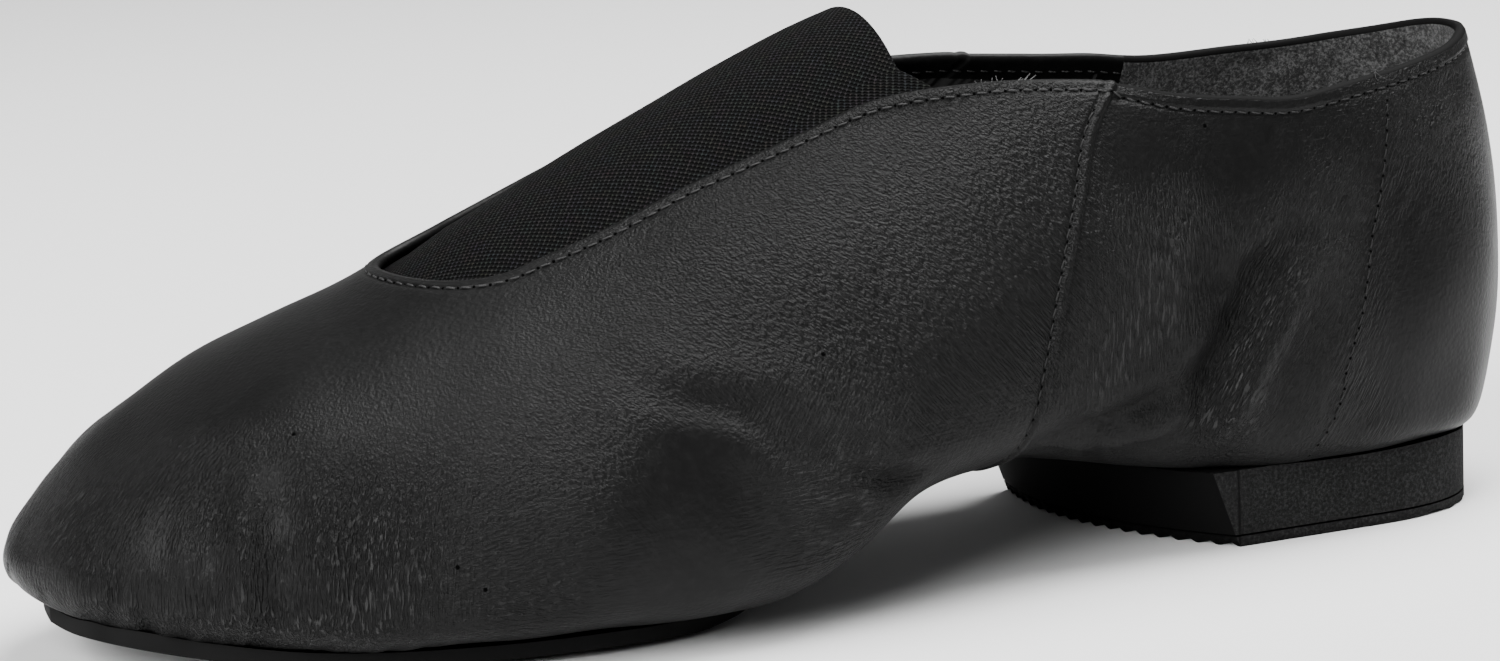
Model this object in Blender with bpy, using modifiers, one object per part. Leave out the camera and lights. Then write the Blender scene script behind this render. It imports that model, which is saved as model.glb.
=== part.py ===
import bpy
import bmesh
from functools import lru_cache
from math import asin, cos, exp, pi, radians, sin, sqrt
from mathutils import Vector

# A left jazz slip-on: +X to the toe, +Y to the outer side, +Z up, in metres.
# The origin is the middle of the heel's resting face.
for leftover in list(bpy.data.objects):
    bpy.data.objects.remove(leftover)

# Driving sizes
SHOE_LENGTH = 0.240
BALL_WIDTH = 0.087
INSTEP_HEIGHT = 0.090
WALL = 0.0014
SEAM_STEP = 0.0008
FIT_GAP = 0.0003
ARCH_RISE = 0.0092
TOE_SPRING = 0.0129
SOLE_THICKNESS = 0.0018
SOLE_LEVELLING = 0.0003
INSOLE_THICKNESS = 0.0015
INSOLE_GAP = 0.0004
GORE_THICKNESS = 0.0012
GORE_TUCK = 0.0060
LIFT_THICKNESS = 0.0016
HEEL_BLOCK_HEIGHT = 0.0087
HEEL_WIDTH = 0.054
HEEL_LENGTH = 0.051
HEEL_INSET = 0.010
HEEL_CUP = 0.0010
BREAST_SKEW = 0.011
BREAST_BULGE = 0.0068
BREAST_RAKE = 0.0045
LASTING_MARGIN = 0.010

# Heights of the leather's underside, worked out from the stack below it
FORE_SEAT = SOLE_THICKNESS + FIT_GAP
HEEL_SEAT = LIFT_THICKNESS + FIT_GAP + HEEL_BLOCK_HEIGHT + FIT_GAP
HEEL_CENTRE = HEEL_INSET + HEEL_LENGTH / 2

# Sections of the upper's outer face, heel to toe. along: share of the length. heel, arch, spring: shares
# of the heel seat's rise, the arch rise and the toe spring. crown, widest: heights above the underside as
# shares of the instep. lateral, medial, ridge: places across as shares of the ball. top_round, low_round:
# exponents of the section above and below its widest line.
SECTION_COLUMNS = ("along", "heel", "arch", "spring", "crown", "widest",
                   "lateral", "medial", "ridge", "top_round", "low_round")
SECTIONS = (
    (0.000, 1.00, 0.00, 0.00, 0.896, 0.175, 0.000, 0.000, 0.000, 2.0, 4.4),
    (0.020, 1.00, 0.00, 0.00, 0.896, 0.175, 0.170, -0.170, 0.000, 2.0, 6.0),
    (0.060, 1.00, 0.00, 0.00, 0.896, 0.170, 0.284, -0.278, 0.000, 2.0, 7.0),
    (0.120, 1.00, 0.00, 0.00, 0.896, 0.165, 0.345, -0.328, 0.000, 2.0, 7.0),
    (0.200, 1.00, 0.00, 0.00, 0.896, 0.170, 0.368, -0.345, 0.000, 2.0, 6.0),
    (0.300, 0.90, 0.21, 0.00, 0.889, 0.186, 0.379, -0.339, 0.000, 2.0, 3.8),
    (0.360, 0.80, 0.55, 0.00, 0.848, 0.176, 0.400, -0.339, -0.011, 2.0, 2.6),
    (0.410, 0.70, 0.86, 0.00, 0.809, 0.153, 0.425, -0.356, -0.023, 2.0, 2.4),
    (0.460, 0.55, 1.00, 0.00, 0.781, 0.131, 0.454, -0.379, -0.034, 2.0, 2.4),
    (0.500, 0.38, 0.93, 0.00, 0.759, 0.135, 0.474, -0.409, -0.046, 2.0, 2.6),
    (0.540, 0.22, 0.33, 0.00, 0.779, 0.173, 0.489, -0.437, -0.057, 2.0, 3.0),
    (0.580, 0.08, 0.02, 0.00, 0.767, 0.185, 0.499, -0.460, -0.063, 2.0, 3.3),
    (0.620, 0.00, 0.01, 0.00, 0.723, 0.173, 0.500, -0.477, -0.069, 2.0, 3.4),
    (0.700, 0.00, 0.00, 0.00, 0.619, 0.147, 0.483, -0.500, -0.080, 2.0, 3.5),
    (0.780, 0.00, 0.00, 0.00, 0.524, 0.130, 0.431, -0.494, -0.092, 2.1, 3.4),
    (0.860, 0.00, 0.00, 0.05, 0.436, 0.122, 0.351, -0.460, -0.092, 2.2, 3.1),
    (0.930, 0.00, 0.00, 0.24, 0.308, 0.100, 0.218, -0.391, -0.103, 2.2, 2.8),
    (0.975, 0.00, 0.00, 0.47, 0.170, 0.064, 0.080, -0.287, -0.115, 2.2, 2.4),
    (0.992, 0.00, 0.00, 0.66, 0.088, 0.038, -0.011, -0.213, -0.115, 2.1, 2.2),
    (1.000, 0.00, 0.00, 1.00, 0.000, 0.000, -0.115, -0.115, -0.115, 2.0, 2.0),
)

# Profile of the back. rise: height above the heel seat as a share of the instep. inset: share of the length.
BACK_COLUMNS = ("rise", "inset")
BACK_PROFILE = (
    (0.00, 0.0220),
    (0.10, 0.0120),
    (0.21, 0.0040),
    (0.35, 0.0000),
    (0.52, 0.0040),
    (0.70, 0.0175),
    (0.82, 0.0240),
)
BACK_REACH = 0.35

# The waist leans back as it rises
LEAN = 0.27
LEAN_AT = 0.36
LEAN_SPREAD = 0.13

# Collar and throat edge. along: share of the length. lateral, medial: degrees up the section, 90 at the ridge.
EDGE_COLUMNS = ("along", "lateral", "medial")
OPENING_EDGE = (
    (0.000, 45.1, 45.1),
    (0.015, 44.2, 44.0),
    (0.060, 42.0, 42.1),
    (0.140, 40.1, 41.1),
    (0.260, 38.1, 40.5),
    (0.360, 40.6, 42.3),
    (0.425, 45.6, 45.2),
    (0.470, 51.0, 49.6),
    (0.505, 55.5, 56.2),
    (0.542, 57.2, 59.0),
    (0.600, 60.0, 62.0),
    (0.660, 61.3, 65.0),
    (0.703, 63.5, 68.2),
    (0.725, 66.0, 71.2),
    (0.742, 69.5, 74.8),
    (0.755, 74.5, 80.0),
    (0.765, 90.0, 90.0),
)
THROAT_TIP = 0.765

# The vamp's back edge, which laps over the quarters. turn: degrees up the section. along: share of the length.
SEAM_COLUMNS = ("turn", "along")
VAMP_EDGE = (
    (-90.0, 0.430),
    (-26.0, 0.432),
    (2.0, 0.427),
    (18.0, 0.418),
    (28.0, 0.410),
    (38.0, 0.402),
    (45.0, 0.388),
)
SEAM_AT = 0.410
SEAM_SPREAD = 0.06
SEAM_RUN = 0.0012
LAP_FADE = 0.09

# Holes in the underside that the sole and the heel close: start and end as shares of the length
FORE_HOLE = (0.600, 0.930)
HEEL_HOLE = (0.100, 0.245)
HOLE_SQUARENESS = 3.0

# Outlines seen from below. along: share of the length. reach: share of the section's half width.
OUTLINE_COLUMNS = ("along", "reach")
SOLE_OUTLINE = (
    (0.555, 0.00),
    (0.562, 0.30),
    (0.585, 0.50),
    (0.620, 0.64),
    (0.670, 0.74),
    (0.740, 0.78),
    (0.840, 0.79),
    (0.920, 0.79),
    (0.960, 0.72),
    (0.974, 0.50),
    (0.979, 0.00),
)
INSOLE_OUTLINE = (
    (0.045, 0.00),
    (0.056, 0.42),
    (0.085, 0.64),
    (0.140, 0.76),
    (0.240, 0.76),
    (0.340, 0.68),
    (0.440, 0.64),
    (0.540, 0.68),
    (0.660, 0.76),
    (0.860, 0.76),
    (0.920, 0.68),
    (0.945, 0.45),
    (0.955, 0.00),
)

# The elastic insert. It follows the skin, sunk under the throat edge and full in the middle.
GORE_FRONT = 0.790
GORE_CREST = 0.487
GORE_CORNER = 0.466
GORE_RISE = 0.0016
GORE_MARGIN = 4.0
GORE_SUNK_FROM = 0.748
GORE_FADE = 0.06
GORE_DIP = 0.0005
GORE_DIP_RUN = 0.022
GORE_TUCK_FROM = 0.735
GORE_CORNER_TURN = 62.0
GORE_CORNER_SPAN = 12.0

# How finely the surfaces are cut
STATIONS = 40
STATION_ROOM = 0.008
TIP_STEP = 0.010
SHOULDER = 25.0
LOW_STEPS = 10
HIGH_STEPS = 6
GORE_STATIONS = 22
GORE_STEPS = 8
SOLE_STATIONS = 20
INSOLE_STATIONS = 32
PAD_STEPS = 10


# One column of a table against another, with the slope at each row
@lru_cache(maxsize=None)
def line_of(table, key, column, spread_out):
    places = [spread(row[key]) if spread_out else row[key] for row in table]
    levels = [row[column] for row in table]
    steps = [b - a for a, b in zip(places, places[1:])]
    slopes = [(b - a) / step for a, b, step in zip(levels, levels[1:], steps)]
    middle = [(slopes[i - 1] * steps[i] + slopes[i] * steps[i - 1]) / (steps[i - 1] + steps[i])
              for i in range(1, len(steps))]
    return places, levels, steps, [slopes[0], *middle, slopes[-1]]


# A smooth line through one column of a table
def read(table, columns, name, by, value):
    spread_out = columns is SECTION_COLUMNS
    places, levels, steps, slopes = line_of(table, columns.index(by), columns.index(name), spread_out)
    value = spread(value) if spread_out else value
    value = min(max(value, places[0]), places[-1])
    at = next(i for i in range(len(steps)) if value <= places[i + 1])
    t = (value - places[at]) / steps[at]
    return (
        (2 * t**3 - 3 * t**2 + 1) * levels[at]
        + (t**3 - 2 * t**2 + t) * steps[at] * slopes[at]
        + (3 * t**2 - 2 * t**3) * levels[at + 1]
        + (t**3 - t**2) * steps[at] * slopes[at + 1]
    )


# Shares near the heel and the toe are spread out, which rounds both ends
def spread(along):
    return asin(sqrt(min(max(along, 0.0), 1.0))) * 2 / pi


def unspread(place):
    return sin(place * pi / 2) ** 2


# Everything that one section needs, in metres
@lru_cache(maxsize=None)
def section(along):
    row = {name: read(SECTIONS, SECTION_COLUMNS, name, "along", along) for name in SECTION_COLUMNS[1:]}
    under = FORE_SEAT + row["heel"] * (HEEL_SEAT - FORE_SEAT) + row["arch"] * ARCH_RISE + row["spring"] * TOE_SPRING
    lateral = row["lateral"] * BALL_WIDTH
    medial = row["medial"] * BALL_WIDTH
    return {
        "under": under,
        "crown": under + row["crown"] * INSTEP_HEIGHT,
        "widest": under + row["widest"] * INSTEP_HEIGHT,
        "middle": (lateral + medial) / 2,
        "half": (lateral - medial) / 2,
        "ridge": row["ridge"] * BALL_WIDTH,
        "top_round": row["top_round"],
        "low_round": row["low_round"],
    }


# The place along the shoe of a point of a section, by its height
def place_along(along, height, under):
    lean = LEAN * exp(-(((along - LEAN_AT) / LEAN_SPREAD) ** 2))
    inset = SHOE_LENGTH * read(BACK_PROFILE, BACK_COLUMNS, "inset", "rise", (height - HEEL_SEAT) / INSTEP_HEIGHT)
    fade = max(0.0, 1 - along / BACK_REACH) ** 2
    return along * SHOE_LENGTH - lean * (height - under) + inset * fade


# A point of the upper's outer face. turn: degrees round the section, 0 at the outer side, 90 at the ridge,
# 180 at the inner side, -90 or 270 underneath.
def face_point(along, turn):
    part = section(along)
    across = cos(radians(turn))
    up = sin(radians(turn))
    roundness = part["top_round"] if up >= 0 else part["low_round"]
    rise = abs(up) ** (2 / roundness)
    reach = abs(across) ** (2 / roundness) * (1 if across >= 0 else -1)
    y = part["middle"] + part["half"] * reach
    if up >= 0:
        z = part["widest"] + (part["crown"] - part["widest"]) * rise
        y += (part["ridge"] - part["middle"]) * rise**1.5
    else:
        z = part["widest"] - (part["widest"] - part["under"]) * rise
    return Vector((place_along(along, z, part["under"]), y, z))


# The same point moved inward along the face's own normal
def skin(along, turn, depth=0.0):
    point = face_point(along, turn)
    if depth == 0:
        return point
    place = spread(along)
    ahead = face_point(unspread(min(place + 0.002, 1.0)), turn)
    behind = face_point(unspread(max(place - 0.002, 0.0)), turn)
    across = face_point(along, turn + 0.5) - face_point(along, turn - 0.5)
    inward = (ahead - behind).cross(across)
    if place < 1e-6:
        inward.y = 0.0
    return point + inward.normalized() * depth


# Height of the upper's outer face below a place of the plan
@lru_cache(maxsize=None)
def underside(x, y):
    along = x / SHOE_LENGTH
    for _ in range(8):
        part = section(along)
        share = min(abs(y - part["middle"]) / max(part["half"], 1e-6), 0.999)
        rise = (1 - share ** part["low_round"]) ** (1 / part["low_round"])
        z = part["widest"] - (part["widest"] - part["under"]) * rise
        along = min(max(along - (place_along(along, z, part["under"]) - x) / SHOE_LENGTH, 0.0), 1.0)
    return z


# That face moved along its normal: up where the distance is positive
def underside_moved(x, y, distance):
    step = 0.0005
    slope_x = (underside(x + step, y) - underside(x - step, y)) / (2 * step)
    slope_y = (underside(x, y + step) - underside(x, y - step)) / (2 * step)
    return underside(x, y) + distance * sqrt(1 + slope_x**2 + slope_y**2)


# Degrees up the section where the wall ends at the collar or throat
def edge_turn(along, side):
    if along >= THROAT_TIP:
        return 90.0
    return read(OPENING_EDGE, EDGE_COLUMNS, side, "along", along)


# Degrees below the section's widest line where the wall ends underneath
def hole_turn(along):
    for start, end in (FORE_HOLE, HEEL_HOLE):
        if start < along < end:
            part = section(along)
            place = abs(2 * (along - start) / (end - start) - 1)
            taper = (1 - place**HOLE_SQUARENESS) ** (1 / HOLE_SQUARENESS)
            half = HEEL_WIDTH / 2 if end == HEEL_HOLE[1] else read(
                SOLE_OUTLINE, OUTLINE_COLUMNS, "reach", "along", along) * part["half"]
            share = max(half - LASTING_MARGIN, 0.0) / part["half"] * taper
            rise = (1 - share ** part["low_round"]) ** (1 / part["low_round"])
            return asin(rise ** (part["low_round"] / 2)) * 180 / pi
    return 90.0


# The vamp's back edge is slanted, and the sections near it are slanted with it
def slanted(along, turn):
    height = turn if turn <= 90 else 180 - turn
    shift = read(VAMP_EDGE, SEAM_COLUMNS, "along", "turn", height) - SEAM_AT
    return along + shift * exp(-(((along - SEAM_AT) / SEAM_SPREAD) ** 2))


# Sections at even spacing, with room made for the special places
def stations():
    places = [0.0] + [unspread(i / STATIONS) for i in range(2, STATIONS + 1)]
    half_run = SEAM_RUN / 2 / SHOE_LENGTH
    special = [*FORE_HOLE, *HEEL_HOLE, SEAM_AT - half_run, SEAM_AT + half_run]
    special += [THROAT_TIP - TIP_STEP * i for i in range(4)]
    kept = [place for place in places if min(abs(place - other) for other in special) > STATION_ROOM]
    return sorted(kept + special)


def between(start, end, steps):
    return [start + (end - start) * i / steps for i in range(steps + 1)]


# Shares of a half width from side to side, closer together near the edges
def across():
    return [sin(pi / 2 * share) for share in between(-1, 1, PAD_STEPS)]


collection = bpy.data.collections.new("jazz_shoe")
bpy.context.scene.collection.children.link(collection)


def material(name, colour, roughness, metallic=0.0):
    made = bpy.data.materials.new(name)
    made.use_nodes = True
    shader = made.node_tree.nodes["Principled BSDF"]
    shader.inputs["Base Color"].default_value = (*colour, 1.0)
    shader.inputs["Roughness"].default_value = roughness
    shader.inputs["Metallic"].default_value = metallic
    return made


# One object from grids of points that meet at their shared edges
def add_piece(name, grids, finish, closed=False):
    mesh = bmesh.new()
    for grid in grids:
        rows = [[mesh.verts.new(point - Vector((HEEL_CENTRE, 0, 0))) for point in row] for row in grid]
        for row, following in zip(rows, rows[1:]):
            for i in range(len(row) - 1):
                mesh.faces.new((row[i], row[i + 1], following[i + 1], following[i]))
    bmesh.ops.remove_doubles(mesh, verts=mesh.verts[:], dist=1e-5)
    if closed:
        bmesh.ops.recalc_face_normals(mesh, faces=mesh.faces[:])
    data = bpy.data.meshes.new(name)
    mesh.to_mesh(data)
    mesh.free()
    data.shade_smooth()
    data.materials.append(finish)
    made = bpy.data.objects.new(name, data)
    collection.objects.link(made)
    return made


def add_wall(made, thickness):
    wall = made.modifiers.new("wall", "SOLIDIFY")
    wall.thickness = thickness
    wall.offset = -1
    wall.use_even_offset = True
    wall.use_quality_normals = True


# Upper: two half shells from the underside to the edge, joined at the back, the toe, the ridge and below
def make_upper():
    outer, inner = [], []
    for along in stations():
        lap = exp(-(((along - SEAM_AT) / LAP_FADE) ** 2)) if along > SEAM_AT else 0.0
        depth = -SEAM_STEP * lap
        low = hole_turn(along)
        for half, side in ((outer, "lateral"), (inner, "medial")):
            turns = between(-low, SHOULDER, LOW_STEPS) + between(SHOULDER, edge_turn(along, side), HIGH_STEPS)[1:]
            if side == "medial":
                turns = [180 - turn for turn in reversed(turns)]
            half.append([skin(slanted(along, turn), turn, depth) for turn in turns])
    upper = add_piece("upper", (outer, inner), material("black_leather", (0.022, 0.022, 0.024), 0.5))
    add_wall(upper, WALL)


# Gore: a sheet under the throat, from below one edge over the ridge to below the other
def make_gore():
    grid = []
    sunk = WALL + FIT_GAP
    for i in range(GORE_STATIONS + 1):
        share = i / GORE_STATIONS
        row = []
        middle = GORE_CREST + (GORE_FRONT - GORE_CREST) * share
        tuck = GORE_TUCK / section(middle)["half"] * 180 / pi
        limits = []
        for side in ("lateral", "medial"):
            turn = edge_turn(min(middle, GORE_TUCK_FROM), side) - tuck
            limits.append(turn if side == "lateral" else 180 - turn)
        turns = between(limits[0], 90.0, GORE_STEPS) + between(90.0, limits[1], GORE_STEPS)[1:]
        for turn in turns:
            side = "lateral" if turn <= 90 else "medial"
            height = turn if turn <= 90 else 180 - turn
            fallen = min(max((GORE_CORNER_TURN - height) / GORE_CORNER_SPAN, 0.0), 1.0)
            top = GORE_CREST - (GORE_CREST - GORE_CORNER) * fallen
            along = top + (GORE_FRONT - top) * share
            free = edge_turn(along, side) + GORE_MARGIN
            clear = (height - free) / (90 - free) if height > free else 0.0
            lift = GORE_RISE * clear * (2 - clear) * min(max((GORE_SUNK_FROM - along) / GORE_FADE, 0.0), 1.0)
            dip = GORE_DIP * exp(-(((along - THROAT_TIP) / GORE_DIP_RUN) ** 2))
            row.append(skin(along, turn, sunk + dip - lift))
        grid.append(row)
    gore = add_piece("gore", (grid,), material("elastic_gore", (0.008, 0.008, 0.009), 0.7))
    add_wall(gore, GORE_THICKNESS)


# A pad between two faces, over the outline that its rows of places give
def pad_grids(rows, low, high):
    bottom = [[Vector((x, y, low(x, y))) for x, y in row] for row in rows]
    top = [[Vector((x, y, high(x, y))) for x, y in row] for row in rows]
    return close_pad(bottom, top)


# The two faces and the four walls between their edges
def close_pad(bottom, top):
    sides = [[[row[end] for row in face] for face in (bottom, top)] for end in (0, -1)]
    ends = [[face[end] for face in (bottom, top)] for end in (0, -1)]
    return (bottom, top, *sides, *ends)


# Rows of places across an outline that follows the sections
def outline_rows(outline, steps):
    start = outline[0][0]
    end = outline[-1][0]
    rows = []
    for i in range(steps + 1):
        along = start + (end - start) * (1 - cos(pi * i / steps)) / 2
        part = section(along)
        half = max(read(outline, OUTLINE_COLUMNS, "reach", "along", along), 0.0) * part["half"]
        x = place_along(along, part["under"], part["under"])
        rows.append([(x, part["middle"] + half * share) for share in across()])
    return rows


def make_sole():
    rows = outline_rows(SOLE_OUTLINE, SOLE_STATIONS)

    def high(x, y):
        return underside_moved(x, y, -FIT_GAP)

    def low(x, y):
        return max(underside_moved(x, y, -FIT_GAP - SOLE_THICKNESS) - SOLE_LEVELLING, 0.0)

    add_piece("forefoot_sole", pad_grids(rows, low, high), material("sole_rubber", (0.012, 0.012, 0.013), 0.75), closed=True)


def make_insole():
    rows = outline_rows(INSOLE_OUTLINE, INSOLE_STATIONS)

    def low(x, y):
        return underside_moved(x, y, WALL + INSOLE_GAP)

    def high(x, y):
        return underside_moved(x, y, WALL + INSOLE_GAP + INSOLE_THICKNESS)

    add_piece("insole", pad_grids(rows, low, high), material("sock_lining", (0.05, 0.05, 0.052), 0.9), closed=True)


# Rows of places across the heel's D plan: round at the back, straight sides, a bulging breast that is
# further forward at the inner side. rake: how far the breast has come forward at this height.
def heel_rows(rake):
    half = HEEL_WIDTH / 2
    round_share = half / HEEL_LENGTH
    shares = [round_share * (1 - cos(pi / 2 * i / 7)) for i in range(8)]
    shares += between(round_share, 1.0, 4)[1:]
    rows = []
    for share in shares:
        inside = max(1 - share / round_share, 0.0)
        reach = half * (1 - inside**2.6) ** (1 / 2.6)
        row = []
        for place in across():
            front = HEEL_LENGTH + BREAST_SKEW * (1 - place) / 2 + BREAST_BULGE * (1 - place**2) + rake
            row.append((HEEL_INSET + HEEL_LENGTH * share + (front - HEEL_LENGTH) * share**3, reach * place))
        rows.append(row)
    return rows


def make_heel():
    base = LIFT_THICKNESS + FIT_GAP
    bottom = [[Vector((x, y, base)) for x, y in row] for row in heel_rows(BREAST_RAKE * base / HEEL_SEAT)]
    top = [[Vector((x, y, min(underside_moved(x, y, -FIT_GAP), HEEL_SEAT + HEEL_CUP))) for x, y in row]
           for row in heel_rows(BREAST_RAKE)]
    finish = material("heel_stack", (0.06, 0.06, 0.062), 0.85)
    add_piece("heel", close_pad(bottom, top), finish, closed=True)


def make_top_lift():
    bottom = [[Vector((x, y, 0.0)) for x, y in row] for row in heel_rows(0.0)]
    rake = BREAST_RAKE * LIFT_THICKNESS / HEEL_SEAT
    top = [[Vector((x, y, LIFT_THICKNESS)) for x, y in row] for row in heel_rows(rake)]
    finish = material("lift_rubber", (0.012, 0.012, 0.012), 0.7)
    add_piece("top_lift", close_pad(bottom, top), finish, closed=True)


make_upper()
make_gore()
make_sole()
make_insole()
make_heel()
make_top_lift()
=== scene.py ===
import bpy
import numpy as np
from math import cos, pi, radians, sin
from mathutils import Matrix, Vector
from mathutils.bvhtree import BVHTree
from mathutils.kdtree import KDTree


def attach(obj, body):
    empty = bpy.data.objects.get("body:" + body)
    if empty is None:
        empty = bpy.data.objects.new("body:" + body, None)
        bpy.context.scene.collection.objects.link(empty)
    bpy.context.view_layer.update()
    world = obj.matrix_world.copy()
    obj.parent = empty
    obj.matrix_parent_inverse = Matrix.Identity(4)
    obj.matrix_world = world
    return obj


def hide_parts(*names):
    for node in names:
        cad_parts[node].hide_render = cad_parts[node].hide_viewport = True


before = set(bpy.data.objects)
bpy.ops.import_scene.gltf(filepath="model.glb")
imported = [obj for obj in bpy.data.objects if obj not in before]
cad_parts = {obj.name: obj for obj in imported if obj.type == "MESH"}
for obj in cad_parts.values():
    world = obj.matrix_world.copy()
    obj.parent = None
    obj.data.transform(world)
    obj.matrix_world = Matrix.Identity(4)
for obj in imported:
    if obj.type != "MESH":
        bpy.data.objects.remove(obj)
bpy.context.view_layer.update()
print("frame loaded")

# A left jazz shoe in glove leather: +X to the toe, +Y to the outer side, +Z up, in metres.
mm = 0.001


def toLinear(hexColour):  # sRGB hex to linear light
    parts = [int(hexColour[i:i + 2], 16) / 255 for i in (1, 3, 5)]
    return (*(c / 12.92 if c <= 0.04045 else ((c + 0.055) / 1.055) ** 2.4 for c in parts), 1.0)


# The last, in shares of the shoe's own sizes, as the solids have it
last = {
    "length": 0.240, "ballWidth": 0.087, "instepHeight": 0.090, "wall": 0.0014,
    "foreSeat": 0.0021, "heelSeat": 0.0109, "archRise": 0.0092, "toeSpring": 0.0129,
    "heelCentre": 0.0355, "backReach": 0.35, "lean": 0.27, "leanAt": 0.36, "leanSpread": 0.13,
    "fitGap": 0.0003,
}
sectionNames = ("along", "heel", "arch", "spring", "crown", "widest",
                "lateral", "medial", "ridge", "topRound", "lowRound")
sections = (
    (0.000, 1.00, 0.00, 0.00, 0.896, 0.175, 0.000, 0.000, 0.000, 2.0, 4.4),
    (0.020, 1.00, 0.00, 0.00, 0.896, 0.175, 0.170, -0.170, 0.000, 2.0, 6.0),
    (0.060, 1.00, 0.00, 0.00, 0.896, 0.170, 0.284, -0.278, 0.000, 2.0, 7.0),
    (0.120, 1.00, 0.00, 0.00, 0.896, 0.165, 0.345, -0.328, 0.000, 2.0, 7.0),
    (0.200, 1.00, 0.00, 0.00, 0.896, 0.170, 0.368, -0.345, 0.000, 2.0, 6.0),
    (0.300, 0.90, 0.21, 0.00, 0.889, 0.186, 0.379, -0.339, 0.000, 2.0, 3.8),
    (0.360, 0.80, 0.55, 0.00, 0.848, 0.176, 0.400, -0.339, -0.011, 2.0, 2.6),
    (0.410, 0.70, 0.86, 0.00, 0.809, 0.153, 0.425, -0.356, -0.023, 2.0, 2.4),
    (0.460, 0.55, 1.00, 0.00, 0.781, 0.131, 0.454, -0.379, -0.034, 2.0, 2.4),
    (0.500, 0.38, 0.93, 0.00, 0.759, 0.135, 0.474, -0.409, -0.046, 2.0, 2.6),
    (0.540, 0.22, 0.33, 0.00, 0.779, 0.173, 0.489, -0.437, -0.057, 2.0, 3.0),
    (0.580, 0.08, 0.02, 0.00, 0.767, 0.185, 0.499, -0.460, -0.063, 2.0, 3.3),
    (0.620, 0.00, 0.01, 0.00, 0.723, 0.173, 0.500, -0.477, -0.069, 2.0, 3.4),
    (0.700, 0.00, 0.00, 0.00, 0.619, 0.147, 0.483, -0.500, -0.080, 2.0, 3.5),
    (0.780, 0.00, 0.00, 0.00, 0.524, 0.130, 0.431, -0.494, -0.092, 2.1, 3.4),
    (0.860, 0.00, 0.00, 0.05, 0.436, 0.122, 0.351, -0.460, -0.092, 2.2, 3.1),
    (0.930, 0.00, 0.00, 0.24, 0.308, 0.100, 0.218, -0.391, -0.103, 2.2, 2.8),
    (0.975, 0.00, 0.00, 0.47, 0.170, 0.064, 0.080, -0.287, -0.115, 2.2, 2.4),
    (0.992, 0.00, 0.00, 0.66, 0.088, 0.038, -0.011, -0.213, -0.115, 2.1, 2.2),
    (1.000, 0.00, 0.00, 1.00, 0.000, 0.000, -0.115, -0.115, -0.115, 2.0, 2.0),
)
backProfile = (  # rise over the instep height, inset over the length
    (0.00, 0.0220), (0.10, 0.0120), (0.21, 0.0040), (0.35, 0.0000),
    (0.52, 0.0040), (0.70, 0.0175), (0.82, 0.0240),
)
openingEdge = (  # along, then degrees up the section at the outer and the inner side
    (0.000, 45.6, 45.6), (0.015, 45.2, 44.4), (0.060, 43.4, 42.3), (0.140, 40.8, 41.1),
    (0.260, 38.1, 40.5), (0.360, 40.6, 42.3), (0.425, 45.6, 45.2), (0.470, 51.0, 49.6),
    (0.505, 55.5, 56.2), (0.542, 57.2, 59.0), (0.600, 60.0, 62.0), (0.660, 61.3, 65.0),
    (0.700, 63.3, 68.0),
)
throat = {"roundFrom": 0.700, "tip": 0.765}
vampEdge = (  # degrees up the section, along
    (-90, 0.430), (-26, 0.432), (2, 0.427), (18, 0.418), (28, 0.410), (38, 0.402), (45, 0.388),
)
seam = {"at": 0.410, "spread": 0.06, "step": 0.0008, "fade": 0.09, "inside": 0.3}
soleOutline = (  # along, share of the section's half width
    (0.555, 0.00), (0.562, 0.30), (0.585, 0.50), (0.620, 0.64), (0.670, 0.74), (0.740, 0.78),
    (0.840, 0.79), (0.920, 0.79), (0.960, 0.72), (0.974, 0.50), (0.979, 0.00),
)
insoleOutline = (
    (0.045, 0.00), (0.056, 0.42), (0.085, 0.64), (0.140, 0.76), (0.240, 0.76), (0.340, 0.68),
    (0.440, 0.64), (0.540, 0.68), (0.660, 0.76), (0.860, 0.76), (0.920, 0.68), (0.945, 0.45), (0.955, 0.00),
)
holes = {"fore": (0.600, 0.930), "heel": (0.100, 0.245), "squareness": 3.0, "margin": 0.010}
heelBlock = {
    "lift": 0.0016, "width": 0.054, "length": 0.051, "inset": 0.010, "cup": 0.0010,
    "skew": 0.011, "bulge": 0.0068, "rake": 0.0045,
}


def spread(along):  # stretches both ends, which rounds the heel and the toe
    return np.arcsin(np.sqrt(np.clip(along, 0, 1))) * 2 / pi


def unspread(place):
    return np.sin(np.asarray(place) * pi / 2) ** 2


def readTable(table, column, values, spreadOut=False):  # a smooth line through one column
    rows = np.array(table, float)
    key, level = rows[:, 0], rows[:, column]
    if spreadOut:
        key, values = spread(key), spread(values)
    values = np.clip(values, key[0], key[-1])
    step = np.diff(key)
    slope = np.diff(level) / step
    middle = (slope[:-1] * step[1:] + slope[1:] * step[:-1]) / (step[:-1] + step[1:])
    slope = np.concatenate((slope[:1], middle, slope[-1:]))
    at = np.clip(np.searchsorted(key, values) - 1, 0, len(step) - 1)
    t = (values - key[at]) / step[at]
    return ((2 * t**3 - 3 * t**2 + 1) * level[at] + (t**3 - 2 * t**2 + t) * step[at] * slope[at]
            + (3 * t**2 - 2 * t**3) * level[at + 1] + (t**3 - t**2) * step[at] * slope[at + 1])


def smoothStep(low, high, values):
    t = np.clip((values - low) / (high - low), 0, 1)
    return t * t * (3 - 2 * t)


def hump(values, middle, width):
    return np.exp(-(((values - middle) / width) ** 2))


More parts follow.
